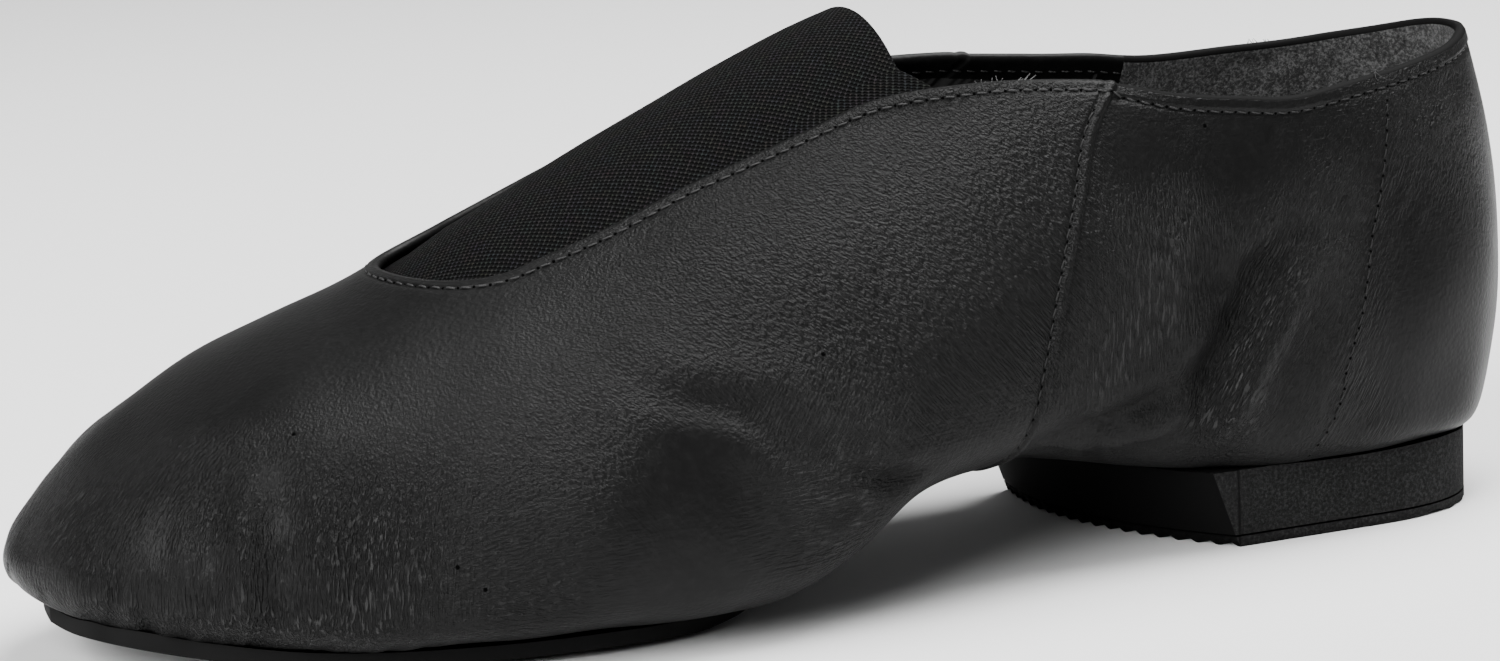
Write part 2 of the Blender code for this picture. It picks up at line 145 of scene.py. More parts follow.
def sectionAt(along):
    row = {name: readTable(sections, i, along, True) for i, name in enumerate(sectionNames) if i}
    under = (last["foreSeat"] + row["heel"] * (last["heelSeat"] - last["foreSeat"])
             + row["arch"] * last["archRise"] + row["spring"] * last["toeSpring"])
    outer, inner = row["lateral"] * last["ballWidth"], row["medial"] * last["ballWidth"]
    return {"under": under, "crown": under + row["crown"] * last["instepHeight"],
            "widest": under + row["widest"] * last["instepHeight"],
            "middle": (outer + inner) / 2, "half": (outer - inner) / 2,
            "ridge": row["ridge"] * last["ballWidth"],
            "topRound": row["topRound"], "lowRound": row["lowRound"]}


def placeAlong(along, height, under):
    lean = last["lean"] * hump(along, last["leanAt"], last["leanSpread"])
    inset = last["length"] * readTable(backProfile, 1, (height - last["heelSeat"]) / last["instepHeight"])
    fade = np.clip(1 - along / last["backReach"], 0, 1) ** 2
    return along * last["length"] - lean * (height - under) + inset * fade - last["heelCentre"]


# A point of the leather's outer face. turn: degrees round the section, 0 at the outer side, 90 at the
# ridge, 180 at the inner side, -90 or 270 underneath.
def facePoints(along, turn):
    part = sectionAt(along)
    across, up = np.cos(np.radians(turn)), np.sin(np.radians(turn))
    power = 2 / np.where(up >= 0, part["topRound"], part["lowRound"])
    rise = np.abs(up) ** power
    y = part["middle"] + part["half"] * np.abs(across) ** power * np.where(across >= 0, 1, -1)
    y = y + np.where(up >= 0, (part["ridge"] - part["middle"]) * rise**1.5, 0)
    z = part["widest"] + np.where(up >= 0, (part["crown"] - part["widest"]) * rise,
                                  -(part["widest"] - part["under"]) * rise)
    return np.stack((placeAlong(along, z, part["under"]), y, z), -1)


def unit(vectors):
    return vectors / np.maximum(np.linalg.norm(vectors, axis=-1, keepdims=True), 1e-12)


def arcLengths(points):  # the running length along each row of points
    steps = np.linalg.norm(np.diff(points, axis=-2), axis=-1)
    return np.concatenate((np.zeros((*steps.shape[:-1], 1)), np.cumsum(steps, -1)), -1)


def faceNormals(along, turn):
    place = spread(along)
    ahead = facePoints(unspread(np.minimum(place + 0.002, 1)), turn)
    behind = facePoints(unspread(np.maximum(place - 0.002, 0)), turn)
    outward = np.cross(facePoints(along, turn + 0.5) - facePoints(along, turn - 0.5), ahead - behind)
    outward[..., 1] = np.where(place < 1e-6, 0, outward[..., 1])
    return unit(outward)


def sided(turn, side):  # a turn of the outer side (1), or its mirror image on the inner side (2)
    return turn if side == 1 else 180 - turn


def edgeTurn(along, side):  # where the leather ends at the collar or throat, before sided()
    start, tip = throat["roundFrom"], throat["tip"]
    offset = 90 - readTable(openingEdge, side, np.full(1, start))[0]
    share = np.clip((along - start) / (tip - start), 0, 1)
    rounded = 90 - offset * np.sqrt(np.maximum(1 - share**2, 0))
    return np.where(along > start, rounded, readTable(openingEdge, side, along))


def aboveWidest(turn):  # degrees above the widest line, the same on both sides
    return np.where(turn <= 90, turn, 180 - turn)


def slanted(along, turn):  # sections near the seam lie along it
    shift = readTable(vampEdge, 1, aboveWidest(turn)) - seam["at"]
    return along + shift * hump(along, seam["at"], seam["spread"])


def holeTurn(along):  # degrees below the widest line where the leather ends underneath
    low = np.full(along.shape, 90.0)
    part = sectionAt(along)
    for name in ("fore", "heel"):
        start, end = holes[name]
        inside = (along > start) & (along < end)
        place = np.clip(np.abs(2 * (along - start) / (end - start) - 1), 0, 1)
        taper = (1 - place ** holes["squareness"]) ** (1 / holes["squareness"])
        half = readTable(soleOutline, 1, along) * part["half"] if name == "fore" else heelBlock["width"] / 2
        share = np.clip((half - holes["margin"]) / np.maximum(part["half"], 1e-6), 0, 0.999) * taper
        rise = (1 - share ** part["lowRound"]) ** (1 / part["lowRound"])
        low = np.where(inside, np.degrees(np.arcsin(rise ** (part["lowRound"] / 2))), low)
    return low


def underside(x, y):  # height of the leather's outer face over a place of the plan
    along = (x + last["heelCentre"]) / last["length"]
    for _ in range(8):
        part = sectionAt(along)
        share = np.clip(np.abs(y - part["middle"]) / np.maximum(part["half"], 1e-6), 0, 0.999)
        rise = (1 - share ** part["lowRound"]) ** (1 / part["lowRound"])
        z = part["widest"] - (part["widest"] - part["under"]) * rise
        along = np.clip(along - (placeAlong(along, z, part["under"]) - x) / last["length"], 0, 1)
    return z


def undersideMoved(x, y, distance):  # up where the distance is positive
    step = 0.5 * mm
    slopeX = (underside(x + step, y) - underside(x - step, y)) / (2 * step)
    slopeY = (underside(x, y + step) - underside(x, y - step)) / (2 * step)
    return underside(x, y) + distance * np.sqrt(1 + slopeX**2 + slopeY**2)


# Making pieces and materials
def newPiece(name, points, faces, finishes, faceFinish=None):
    mesh = bpy.data.meshes.new(name)
    mesh.from_pydata([tuple(p) for p in points], [], [tuple(int(i) for i in f) for f in faces])
    mesh.update()
    piece = bpy.data.objects.new(name, mesh)
    bpy.context.scene.collection.objects.link(piece)
    for finish in finishes:
        mesh.materials.append(finish)
    if faceFinish is not None:
        mesh.polygons.foreach_set("material_index", np.asarray(faceFinish, np.int32))
    mesh.shade_smooth()
    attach(piece, "root")
    return piece


def selectOnly(piece):
    bpy.ops.object.select_all(action="DESELECT")
    piece.select_set(True)
    bpy.context.view_layer.objects.active = piece


def tidyMesh(piece, distance=1e-6):  # joins meeting points and turns the faces outward
    selectOnly(piece)
    bpy.ops.object.mode_set(mode="EDIT")
    bpy.ops.mesh.select_all(action="SELECT")
    bpy.ops.mesh.remove_doubles(threshold=distance)
    bpy.ops.mesh.delete_loose()
    bpy.ops.mesh.select_all(action="SELECT")
    bpy.ops.mesh.normals_make_consistent(inside=False)
    bpy.ops.object.mode_set(mode="OBJECT")


def applyModifiers(piece):
    selectOnly(piece)
    for modifier in list(piece.modifiers):
        bpy.ops.object.modifier_apply(modifier=modifier.name)


def gridFaces(rows, columns, first=0):  # quads of a grid of points, row by row
    at = first + np.arange(rows - 1)[:, None] * columns + np.arange(columns - 1)
    return np.stack((at, at + 1, at + columns + 1, at + columns), -1).reshape(-1, 4)


def newMaterial(name, colour, roughness, gloss=0.5):  # gloss is the shader's specular level
    made = bpy.data.materials.new(name)
    made.use_nodes = True
    shader = made.node_tree.nodes["Principled BSDF"]
    shader.inputs["Base Color"].default_value = toLinear(colour)
    shader.inputs["Roughness"].default_value = roughness
    shader.inputs["Specular IOR Level"].default_value = gloss
    return made, made.node_tree, shader


def addNode(tree, kind, settings=None, values=None, links=None):  # links: socket name to (node, output)
    node = tree.nodes.new("ShaderNode" + kind)
    for name, value in (settings or {}).items():
        setattr(node, name, value)
    for name, value in (values or {}).items():
        node.inputs[name].default_value = value
    for name, (source, output) in (links or {}).items():
        tree.links.new(source.outputs[output], node.inputs[name])
    return node


def ramp(tree, source, output, stops):  # stops: place and level
    node = addNode(tree, "ValToRGB", links={"Fac": (source, output)})
    elements = node.color_ramp.elements
    while len(elements) < len(stops):
        elements.new(0.5)
    for element, (place, level) in zip(elements, stops):
        element.position = place
        element.color = toLinear(level) if isinstance(level, str) else (level, level, level, 1)
    return node


def addBump(tree, source, output, height, strength=1.0, before=None):  # height in millimetres
    links = {"Height": (source, output), **({"Normal": (before, "Normal")} if before else {})}
    return addNode(tree, "Bump", values={"Distance": height * mm, "Strength": strength}, links=links)


def addNoise(tree, place, size, detail=2.0, roughness=0.5):  # size in millimetres
    values = {"Scale": 1 / (size * mm), "Detail": detail, "Roughness": roughness}
    return addNode(tree, "TexNoise", {}, values, {"Vector": (place, "Object")})


def addMapping(tree, source, rotation=(0, 0, 0), scale=(1, 1, 1)):  # rotation in degrees
    values = {"Rotation": [radians(angle) for angle in rotation], "Scale": scale}
    return addNode(tree, "Mapping", {}, values, {"Vector": source})


def addMapRange(tree, source, start, end, low=0.0, high=1.0):
    values = {"From Min": start, "From Max": end, "To Min": low, "To Max": high}
    return addNode(tree, "MapRange", {}, values, {"Value": source})


def addMath(tree, operation, *inputs):  # each input is a number or (node, output)
    values = {i: value for i, value in enumerate(inputs) if not isinstance(value, tuple)}
    links = {i: value for i, value in enumerate(inputs) if isinstance(value, tuple)}
    return addNode(tree, "Math", {"operation": operation}, values, links)


def addMix(tree, blend, share, first, second):
    return addNode(tree, "Mix", {"data_type": "RGBA", "blend_type": blend}, {"Factor": share},
                   {"A": first, "B": second})


def joinShader(tree, shader, bump=None, colour=None, roughness=None):  # each but the bump is (node, output)
    found = {"Normal": bump and (bump, "Normal"), "Base Color": colour, "Roughness": roughness}
    for socket, source in found.items():
        if source:
            tree.links.new(source[0].outputs[source[1]], shader.inputs[socket])


# Camera, floor and light
camera = {
    "azimuth": 155, "elevation": 10, "distance": 0.600, "target": (0.0845, 0, 0.044),
    "roll": -2.2, "lens": 96.2, "shift": (-0.0347, -0.0347),
}


def makeCamera():
    a, e = radians(camera["azimuth"]), radians(camera["elevation"])
    back = Vector((sin(a) * cos(e), -cos(a) * cos(e), sin(e)))
    right = (-back).cross(Vector((0, 0, 1))).normalized()
    up = right.cross(-back)
    roll = radians(camera["roll"])
    turned = (right * cos(roll) + up * sin(roll), up * cos(roll) - right * sin(roll), back)
    data = bpy.data.cameras.new("photoCamera")
    data.lens = camera["lens"]
    data.shift_x, data.shift_y = camera["shift"]
    data.clip_start, data.clip_end = 0.05, 20
    made = bpy.data.objects.new("photoCamera", data)
    bpy.context.scene.collection.objects.link(made)
    made.matrix_world = (Matrix.Translation(Vector(camera["target"]) + back * camera["distance"])
                         @ Matrix(turned).transposed().to_4x4())
    bpy.context.scene.camera = made


studio = {
    "floorSize": 3.0, "bend": 0.5, "wallHeight": 2.2, "floorColour": "#f0f0f0",
    "horizon": 0.10, "zenith": 0.24,  # the sky's level, low and overhead
    "lights": (  # place, target, size, watts
        ((-0.40, -0.04, 1.25), (0.05, 0, 0.04), 1.30, 47.0),
        ((0.95, 0.50, 0.62), (0.12, 0, 0.03), 0.90, 27.0),
    ),
}


def makeStudio():
    size, bend, height = studio["floorSize"], studio["bend"], studio["wallHeight"]
    profile = [(size, 0.0)] + [(-size + bend * (1 - sin(radians(t))), bend * (1 - cos(radians(t))))
                               for t in range(0, 91, 10)] + [(-size, height)]
    points = [(x * 2, y, z) for y, z in profile for x in (-size, size)]
    backdrop = newPiece("floor", points, gridFaces(len(profile), 2), [])
    backdrop.parent = None
    finish, tree, shader = newMaterial("paper backdrop", studio["floorColour"], 0.9)
    backdrop.data.materials.append(finish)
    world = bpy.data.worlds.new("studio")
    world.use_nodes = True
    tree = world.node_tree
    place = addNode(tree, "TexCoord")
    height = addNode(tree, "SeparateXYZ", links={"Vector": (place, "Generated")})
    sky = ramp(tree, height, "Z", ((0.0, studio["horizon"]), (0.9, studio["zenith"])))
    tree.links.new(sky.outputs["Color"], tree.nodes["Background"].inputs["Color"])
    bpy.context.scene.world = world
    for i, (place, target, width, watts) in enumerate(studio["lights"]):
        data = bpy.data.lights.new(f"softLight{i}", "AREA")
        data.shape, data.size, data.energy = "DISK", width, watts
        light = bpy.data.objects.new(f"softLight{i}", data)
        light.location = place
        light.rotation_euler = (Vector(target) - Vector(place)).to_track_quat("-Z", "Y").to_euler()
        bpy.context.scene.collection.objects.link(light)


makeCamera()
makeStudio()
print("camera and studio done")

# Finishes
grain = {
    "pebble": 0.75, "across": 0.40, "long": 2.8,  # mm
    "tilts": (4, 32, -40, 86),  # degrees: stretch lines upright, leaning back, falling back and level
    "base": 0.14, "fallingShare": 0.52, "smoothing": 0.82, "colour": "#0d0d0d", "gloss": 0.11,
}


def gloveLeather():
    # Drum-dyed black glove leather, aniline finish: a soft sheen over a fine pebble, with stretch lines
    # where the hide was pulled over the last. The pebble is 0.75 mm and the lines 0.4 by 2.8 mm.
    finish, tree, shader = newMaterial("glove leather", grain["colour"], 0.5, grain["gloss"])
    place = addNode(tree, "TexCoord")
    wrinkle = addNode(tree, "Attribute", {"attribute_name": "wrinkle"})
    ways = addNode(tree, "Attribute", {"attribute_name": "grainWay"})
    parts = addNode(tree, "SeparateColor", links={"Color": (ways, "Color")})
    cells = {"Scale": 1 / (grain["pebble"] * mm), "Smoothness": 0.6}
    pebble = addNode(tree, "TexVoronoi", {"feature": "SMOOTH_F1"}, cells, {"Vector": (place, "Object")})
    broad, fine = addNoise(tree, place, 22, 3.0, 0.55), addNoise(tree, place, 1.3, 4.0, 0.6)
    total = None
    across, long = 1 / (grain["across"] * mm), 1 / (grain["long"] * mm)
    sources = ((parts, "Red"), (parts, "Green"), (parts, "Blue"), (ways, "Alpha"))
    for tilt, source in zip(grain["tilts"], sources):
        turned = addMapping(tree, (place, "Object"), (0, tilt, 0))
        drawn = addMapping(tree, (turned, "Vector"), scale=(across, across, long))
        lines = addNode(tree, "TexNoise", {}, {"Scale": 1.0, "Distortion": 0.15},
                        {"Vector": (drawn, "Vector")})
        level = addMapRange(tree, (lines, "Fac"), 0.38, 0.64)
        before = (total, "Value") if total else 0.0
        total = addMath(tree, "MULTIPLY_ADD", (level, "Result"), source, before)
    grained = addBump(tree, pebble, "Distance", 0.08, 0.5)
    stretched = addBump(tree, total, "Value", 0.58, 1.0, grained)
    fineCreases = addMath(tree, "MULTIPLY", (fine, "Fac"), (wrinkle, "Fac"))
    creased = addBump(tree, fineCreases, "Value", 0.2, 0.9, stretched)
    worn = addMapRange(tree, (broad, "Fac"), 0.3, 0.7, 0.38, 0.48)
    dye = ramp(tree, fine, "Fac", ((0.3, "#0a0a0a"), (0.55, "#0d0d0d"), (0.75, "#131313")))
    rubbedAndHighlit = ramp(tree, total, "Value", ((0.50, "#000000"), (0.95, "#262626")))  # grey tops of the lines: partly rubbed wear, partly painted highlight along the stretch lines
    both = addMix(tree, "ADD", 1.0, (dye, "Color"), (rubbedAndHighlit, "Color"))
    joinShader(tree, shader, creased, (both, "Result"), (worn, "Result"))
    return finish


def splitSuede():
    # The quarters' flesh side, buffed: a grey nap with darker fibres, about 0.5 mm across
    finish, tree, shader = newMaterial("split suede lining", "#303030", 0.95, 0.15)
    shader.inputs["Sheen Weight"].default_value = 0.1
    place = addNode(tree, "TexCoord")
    nap, clumps = addNoise(tree, place, 0.5, 5.0, 0.75), addNoise(tree, place, 2.4, 3.0)
    both = addMath(tree, "MULTIPLY_ADD", (clumps, "Fac"), 0.25, (nap, "Fac"))
    shade = ramp(tree, both, "Value", ((0.45, "#101010"), (0.60, "#303030"), (0.76, "#606060")))
    joinShader(tree, shader, addBump(tree, nap, "Fac", 0.5, 0.8), (shade, "Color"))
    return finish


def drillLining():
    # The vamp's lining: black cotton drill, matt, with a 0.6 mm diagonal rib
    finish, tree, shader = newMaterial("cotton drill lining", "#282828", 0.92, 0.12)
    place = addNode(tree, "TexCoord")
    turned = addMapping(tree, (place, "Object"), (0, 45, 0))
    rib = addNode(tree, "TexWave", {"wave_type": "BANDS"}, {"Scale": 1 / (3.8 * mm), "Distortion": 0.6},
                  {"Vector": (turned, "Vector")})
    joinShader(tree, shader, addBump(tree, rib, "Fac", 0.12, 0.6))
    return finish


# The upper
upperCut = {
    "stations": 300, "columns": 108, "underColumns": 16, "underTurn": 66, "solesFlat": (50, 74),
    "innerStep": 5, "innerStepAtEdge": 3, "edgeColumns": 12, "rimSteps": (45, 90, 135),
    "edgeRows": (0.25, 0.5, 0.8, 1.1, 1.4, 1.7, 2.0, 2.4, 2.9, 3.5),  # mm from the edge
    "seamRows": (-1.6, -1.0, -0.6, -0.3, 0.0, 0.25, 0.55, 0.9, 1.2, 1.45, 1.7, 2.0, 2.4, 3.0),
    "tipRowsBehind": (0.05, 0.2, 0.45, 0.8, 1.25, 1.8, 2.45, 3.2),
    "tipRowsAhead": (0.3, 0.6, 0.9, 1.2, 1.5, 1.8, 2.2, 2.8),
    "rowRoom": 0.35,  # mm between a plain row and a placed one
    "lowPlaces": 260, "highPlaces": 240, "loopPlaces": 1400, "tipPlaces": 200,  # finely read lines
}
hem = {
    "throatWidth": 1.4, "collarWidth": 1.75, "throatRaise": 0.28, "collarRaise": 0.34,
    "groove": 0.16, "soft": 0.35, "beyond": 0.1, "liningFold": 2.4, "seamThin": (1.2, 0.6),
}
lining = {"outerEnd": 0.406, "innerEnd": 0.238, "ragged": 0.0016, "raggedTurns": 0.9}  # the vamp's lining
fold = {"raise": 0.30, "at": 0.75, "width": 0.55, "groove": 0.26, "grooveAt": 1.65, "grooveWidth": 0.32}
waves = {"seed": 11, "count": 16, "shortest": 13, "longest": 42, "height": 0.085}

# Creases: depth and width in mm, share on the inner side, then the path: thousandths of the length
# and degrees, point by point. A negative depth is a ridge.
creases = (
    (0.8, 2.6, 0.7, 690, 36, 655, 26, 620, 20, 585, 11, 545, 2, 512, -7),
    (0.4, 10.0, 0.7, 652, 14, 648, 4, 656, -8),
    (-0.35, 2.8, 0.5, 634, 19, 614, 11, 598, 2, 576, -11),
    (0.4, 1.3, 1.0, 598, 6, 560, 2, 516, -6),
    (0.3, 1.2, 0.6, 582, 12, 545, 5, 512, -5),
    (0.25, 1.2, 0.6, 590, -2, 556, -4, 516, -9),
    (0.85, 1.3, 1.0, 560, 4, 530, -2, 500, -10),
    (-0.35, 3.0, 0.6, 624, 28, 590, 22, 560, 20),
    (0.14, 1.2, 0.6, 778, 9, 740, 9, 702, 10),
    (0.16, 1.2, 0.6, 770, 5, 735, 5, 700, 6),
    (0.14, 1.2, 0.6, 760, 1, 730, 1, 695, 2),
    (-0.3, 2.2, 1.0, 958, 31, 938, 45, 918, 58),
    (-0.3, 2.0, 1.0, 936, 9, 926, 22, 920, 37),
    (0.25, 2.2, 1.0, 945, 0, 938, 16, 930, 30),
    (-0.5, 2.2, 1.0, 908, -22, 903, 0, 898, 20, 888, 44),
    (0.55, 2.4, 1.0, 892, -24, 886, 0, 882, 18, 874, 42),
    (-0.42, 2.2, 0.8, 868, -15, 863, 2, 860, 18, 852, 38),
    (0.36, 2.6, 0.8, 848, -14, 842, 4, 838, 28),
    (0.32, 2.2, 0.8, 922, -20, 917, 4, 912, 30),
    (-0.3, 2.4, 1.0, 990, 50, 980, 8, 964, -8),
    (0.46, 0.8, 1.0, 902, -52, 906, -20, 908, 2),
    (0.44, 0.8, 0.8, 894, -52, 893, -17, 892, 3),
    (0.36, 0.8, 0.6, 888, -50, 888, -16, 888, 0),
    (0.42, 1.0, 1.0, 944, -48, 948, -25, 952, -2),
    (0.4, 0.9, 1.0, 964, -50, 962, -3, 960, 12),
    (0.6, 1.3, 1.0, 420, -19, 392, -20, 342, -30),
    (0.5, 1.2, 1.0, 425, -28, 390, -31, 350, -45),
    (0.5, 1.2, 1.0, 424, -40, 385, -44, 345, -62),
    (0.4, 1.2, 1.0, 418, -55, 380, -62, 345, -76),
    (1.35, 2.0, 0.7, 412, -30, 382, -26, 354, -13, 322, -1, 296, 2),
    (-0.7, 2.2, 0.7, 400, -42, 366, -36, 338, -22, 314, -8),
    (1.9, 2.7, 0.7, 206, 22, 236, 17, 262, 12, 282, 6, 298, -1, 306, -14, 306, -30),
    (0.8, 5.0, 0.6, 300, 20, 300, 12, 308, 4),
    (-1.6, 3.7, 0.7, 216, 16, 244, 8, 268, -1, 280, -14),
    (0.35, 2.4, 0.6, 196, 12, 222, 4, 244, -6),
    (0.5, 1.9, 0.5, 312, 12, 278, 14, 252, 16),
    (0.25, 1.2, 0.5, 300, 8, 284, 9),
    (0.28, 1.1, 1.0, 236, 28, 242, 18),
    (0.28, 1.1, 1.0, 220, 28, 226, 18),
    (0.22, 1.1, 1.0, 212, 37, 216, 31),
    (0.22, 1.1, 1.0, 196, 36, 208, 30),
    (0.2, 1.1, 1.0, 246, 36, 256, 30),
    (0.35, 1.4, 0.6, 210, 18, 186, 19, 162, 18),
    (-0.22, 1.9, 0.8, 352, 20, 342, 12, 334, 4),
    (-0.2, 1.6, 0.8, 336, 26, 335, 18, 334, 10),
    (0.18, 1.0, 0.6, 166, -2, 178, -8, 190, -14),
    (0.18, 1.0, 0.6, 158, -3, 170, -9, 182, -16),
    (0.45, 1.8, 0.8, 112, 34, 85, 37, 52, 38),
    (0.2, 1.4, 0.8, 126, 30, 90, 34, 60, 35),
    (0.18, 1.2, 0.8, 150, 20, 128, 26),
    (0.18, 1.2, 0.8, 138, 18, 116, 24),
)
pleats = {
    "seed": 5, "from": 0.80, "to": 0.988, "count": 26, "depth": 0.26, "width": 1.0, "shift": (-0.3, 0.3),
    "top": (-28, -8), "lean": (-0.004, 0.004), "depths": (0.4, 1.2), "widths": (0.8, 1.3),
}
creaseForm = {  # measured in the crease's own width: a trough between two low banks, fading to its ends
    "places": 24, "reach": 4.5, "bank": 0.3, "bankAt": 2.1, "bankWidth": 0.9, "ends": 0.6,
    "wrinkleReach": 2.2, "wrinkleGain": 1.3,
}
# Where the hide is drawn out: thousandths of the length, turn, reach in mm, strength, and set of lines
grainPatches = (
    (894, 37, 9, 0.9, 0), (900, 18, 9, 1.0, 0), (900, 0, 9, 0.9, 0), (862, 20, 10, 0.8, 0),
    (862, 2, 10, 0.9, 0), (840, 6, 9, 0.6, 0), (930, 20, 9, 0.5, 0), (960, 5, 9, 0.9, 0),
    (354, 20, 9, 1.0, 0), (338, 13, 8, 0.9, 0), (382, 7, 9, 0.7, 0), (400, 4, 8, 0.6, 0),
    (478, 40, 14, 0.8, 2), (454, 36, 12, 1.0, 2), (430, 28, 10, 1.0, 2), (458, 24, 14, 0.9, 2),
    (490, 28, 14, 0.9, 2), (430, 15, 9, 0.9, 2), (442, 12, 10, 0.7, 2), (518, 39, 14, 0.7, 2),
    (546, 34, 14, 0.8, 2), (576, 39, 14, 0.7, 2), (622, 42, 13, 0.8, 2), (668, 34, 14, 0.8, 2),
    (700, 27, 14, 0.9, 2), (718, 18, 13, 0.9, 2), (622, 32, 12, 0.8, 2), (578, 26, 14, 0.8, 2),
    (544, 22, 13, 0.8, 2), (800, 25, 16, 0.4, 0), (942, 44, 8, 0.9, 1), (974, 70, 7, 0.8, 1),
    (920, 48, 7, 0.8, 1), (258, 10, 8, 1.0, 1), (274, 4, 8, 1.0, 1), (284, -3, 8, 1.0, 1),
    (230, 18, 8, 0.8, 1), (204, 10, 8, 0.7, 1), (180, 23, 8, 0.4, 1), (190, -11, 8, 0.9, 1),
    (90, 30, 10, 0.5, 1), (570, 10, 9, 0.8, 1), (588, 13, 9, 0.7, 1), (720, 2, 9, 0.9, 3),
    (726, -2, 9, 0.8, 3), (592, 2, 9, 0.9, 3), (572, 0, 8, 0.9, 3), (758, 5, 10, 0.7, 3),
)
smoothPatches = (  # thousandths of the length, turn, reach in mm
    (826, 82, 24), (866, 71, 18), (644, 18, 9), (652, 9, 11), (662, -2, 15), (680, -14, 16), (100, 5, 28),
    (60, -20, 22), (282, 32, 11), (754, 58, 24), (378, 33, 10), (300, 12, 6), (308, 2, 5), (881, 5, 4),
    (880, 20, 4), (878, 34, 4), (915, 10, 4), (940, 20, 8),
)


def upperRows():  # sections as shares of the length, closer at the seam and at the throat's tip
    placed = [throat["tip"], *holes["fore"], *holes["heel"]]
    for start, way, rows in ((seam["at"], 1, "seamRows"), (throat["tip"], -1, "tipRowsBehind"),
                             (throat["tip"], 1, "tipRowsAhead")):
        placed += [start + way * s * mm / last["length"] for s in upperCut[rows]]
    placed = np.array(placed)
    plain = unspread(np.arange(upperCut["stations"] + 1) / upperCut["stations"])
    plain = plain[[0, *range(2, len(plain))]]
    room = upperCut["rowRoom"] * mm / last["length"]
    kept = plain[np.abs(plain[:, None] - placed).min(1) > room]
    return np.sort(np.concatenate((kept, placed)))


def arcTurns(rows, side):  # turns at even arc lengths from the underside to the edge, closer at the edge
    low = holeTurn(rows)[:, None]
    high = edgeTurn(rows, side)[:, None]
    along = rows[:, None]
    round_ = sectionAt(along)["lowRound"]
    share = np.linspace(0, 1, upperCut["lowPlaces"])[None]
    byRise = -np.degrees(np.arcsin(share ** (round_ / 2)))
    byReach = -np.degrees(np.arccos(share ** (round_ / 2)))
    below = np.sort(np.concatenate((byRise, byReach), 1), 1)
    above = high * np.linspace(0, 1, upperCut["highPlaces"])[None]
    dense = np.concatenate((np.maximum(below, -low), above), 1)
    around = sided(dense, side)
    arc = arcLengths(facePoints(slanted(along, around), around))
    fine = np.array(upperCut["edgeRows"][::-1]) * mm
    under = upperCut["underColumns"]
    plain = upperCut["columns"] - len(fine) - 1 - under
    turns = []
    for i in range(len(rows)):
        total = arc[i, -1]
        bottom = np.interp(-min(upperCut["underTurn"], low[i, 0] - 0.5), dense[i], arc[i])
        room = min(1.0, (total - bottom) / (8 * fine[0]))
        targets = np.concatenate((np.linspace(0, bottom, under + 1)[:-1],
                                  np.linspace(bottom, total - fine[0] * room, plain + 1)[:-1],
                                  total - fine * room, [total]))
        turns.append(np.interp(targets, arc[i], dense[i]))
    return sided(np.array(turns), side)


def edgeLoop():  # the collar and throat edge as one closed line, from the tip round the heel to the tip
    along = unspread(np.linspace(0, spread(throat["tip"]), upperCut["loopPlaces"]))
    tipPlaces = throat["tip"] - np.linspace(0, 2.0, upperCut["tipPlaces"])[1:]**2 * mm / last["length"]
    along = np.sort(np.concatenate((along, tipPlaces)))
    points, normals = [], []
    for side in (1, 2):
        turn = sided(edgeTurn(along, side), side)
        at = slanted(along, turn)
        points.append(facePoints(at, turn))
        normals.append(faceNormals(at, turn))
    # places, normals and shares of the length
    return [np.concatenate((outer[::-1], inner[1:])) for outer, inner in (points, normals, (along, along))]


def nearest(points, line):  # distance from each point to the nearest point of a line
    tree = KDTree(len(line))
    for i, p in enumerate(line):
        tree.insert(p, i)
    tree.balance()
    return np.array([tree.find(p)[2] for p in points])


def smoothPath(path, count):  # along and turn at even places of a smooth line through the path
    path = np.array(path, float)
    place, at = np.linspace(0, 1, len(path)), np.linspace(0, 1, count)
    if len(path) == 2:
        return [np.interp(at, place, values) for values in path.T]
    return [readTable(np.stack((place, values), 1), 1, at) for values in path.T]


def everyCrease():  # path, depth and width of the placed creases and of the pleats over the sole
    for depth, width, inner, *path in creases:
        path = np.array(path, float).reshape(-1, 2) / (1000, 1)
        yield path, depth, width
        yield np.stack((path[:, 0], 180 - path[:, 1]), 1), depth * inner, width
    rng = np.random.default_rng(pleats["seed"])
    start, end = spread(pleats["from"]), spread(pleats["to"])
    for side in (1, 2):
        for i in range(pleats["count"]):
            share = (i + rng.uniform(*pleats["shift"])) / (pleats["count"] - 1)
            at = unspread(start + share * (end - start))
            top, lean = rng.uniform(*pleats["top"]), rng.uniform(*pleats["lean"])
            path = ((at, sided(-56, side)), (at + lean, sided(top, side)))
            depth = pleats["depth"] * rng.uniform(*pleats["depths"])
            yield path, depth, pleats["width"] * rng.uniform(*pleats["widths"])


def creaseHeights(points):  # summed heights of the creases in metres, and how wrinkled each place is
    form = creaseForm
    height, wrinkle = np.zeros(len(points)), np.zeros(len(points))
    for path, depth, width in everyCrease():
        line = facePoints(*smoothPath(path, form["places"]))
        reach = form["reach"] * width * mm
        at = np.flatnonzero(np.all((points > line.min(0) - reach) & (points < line.max(0) + reach), 1))
        if not len(at):
            continue
        start, step = line[:-1], np.diff(line, axis=0)
        gap = points[at][:, None] - start
        t = np.clip((gap * step).sum(-1) / (step**2).sum(-1), 0, 1)
        distance = np.linalg.norm(gap - t[..., None] * step, axis=-1)
        closest = distance.argmin(1)
        r = distance[np.arange(len(at)), closest] / (width * mm)
        s = (closest + t[np.arange(len(at)), closest]) / len(step)
        taper = np.sin(np.clip(s, 0.02, 0.98) * pi) ** form["ends"]
        profile = hump(r, 0, 1) - form["bank"] * hump(r, form["bankAt"], form["bankWidth"])
        height[at] += -depth * mm * taper * profile
        wrinkle[at] += taper * hump(r, 0, form["wrinkleReach"]) * min(abs(depth) * form["wrinkleGain"], 1.0)
    return height, np.clip(wrinkle, 0, 1)


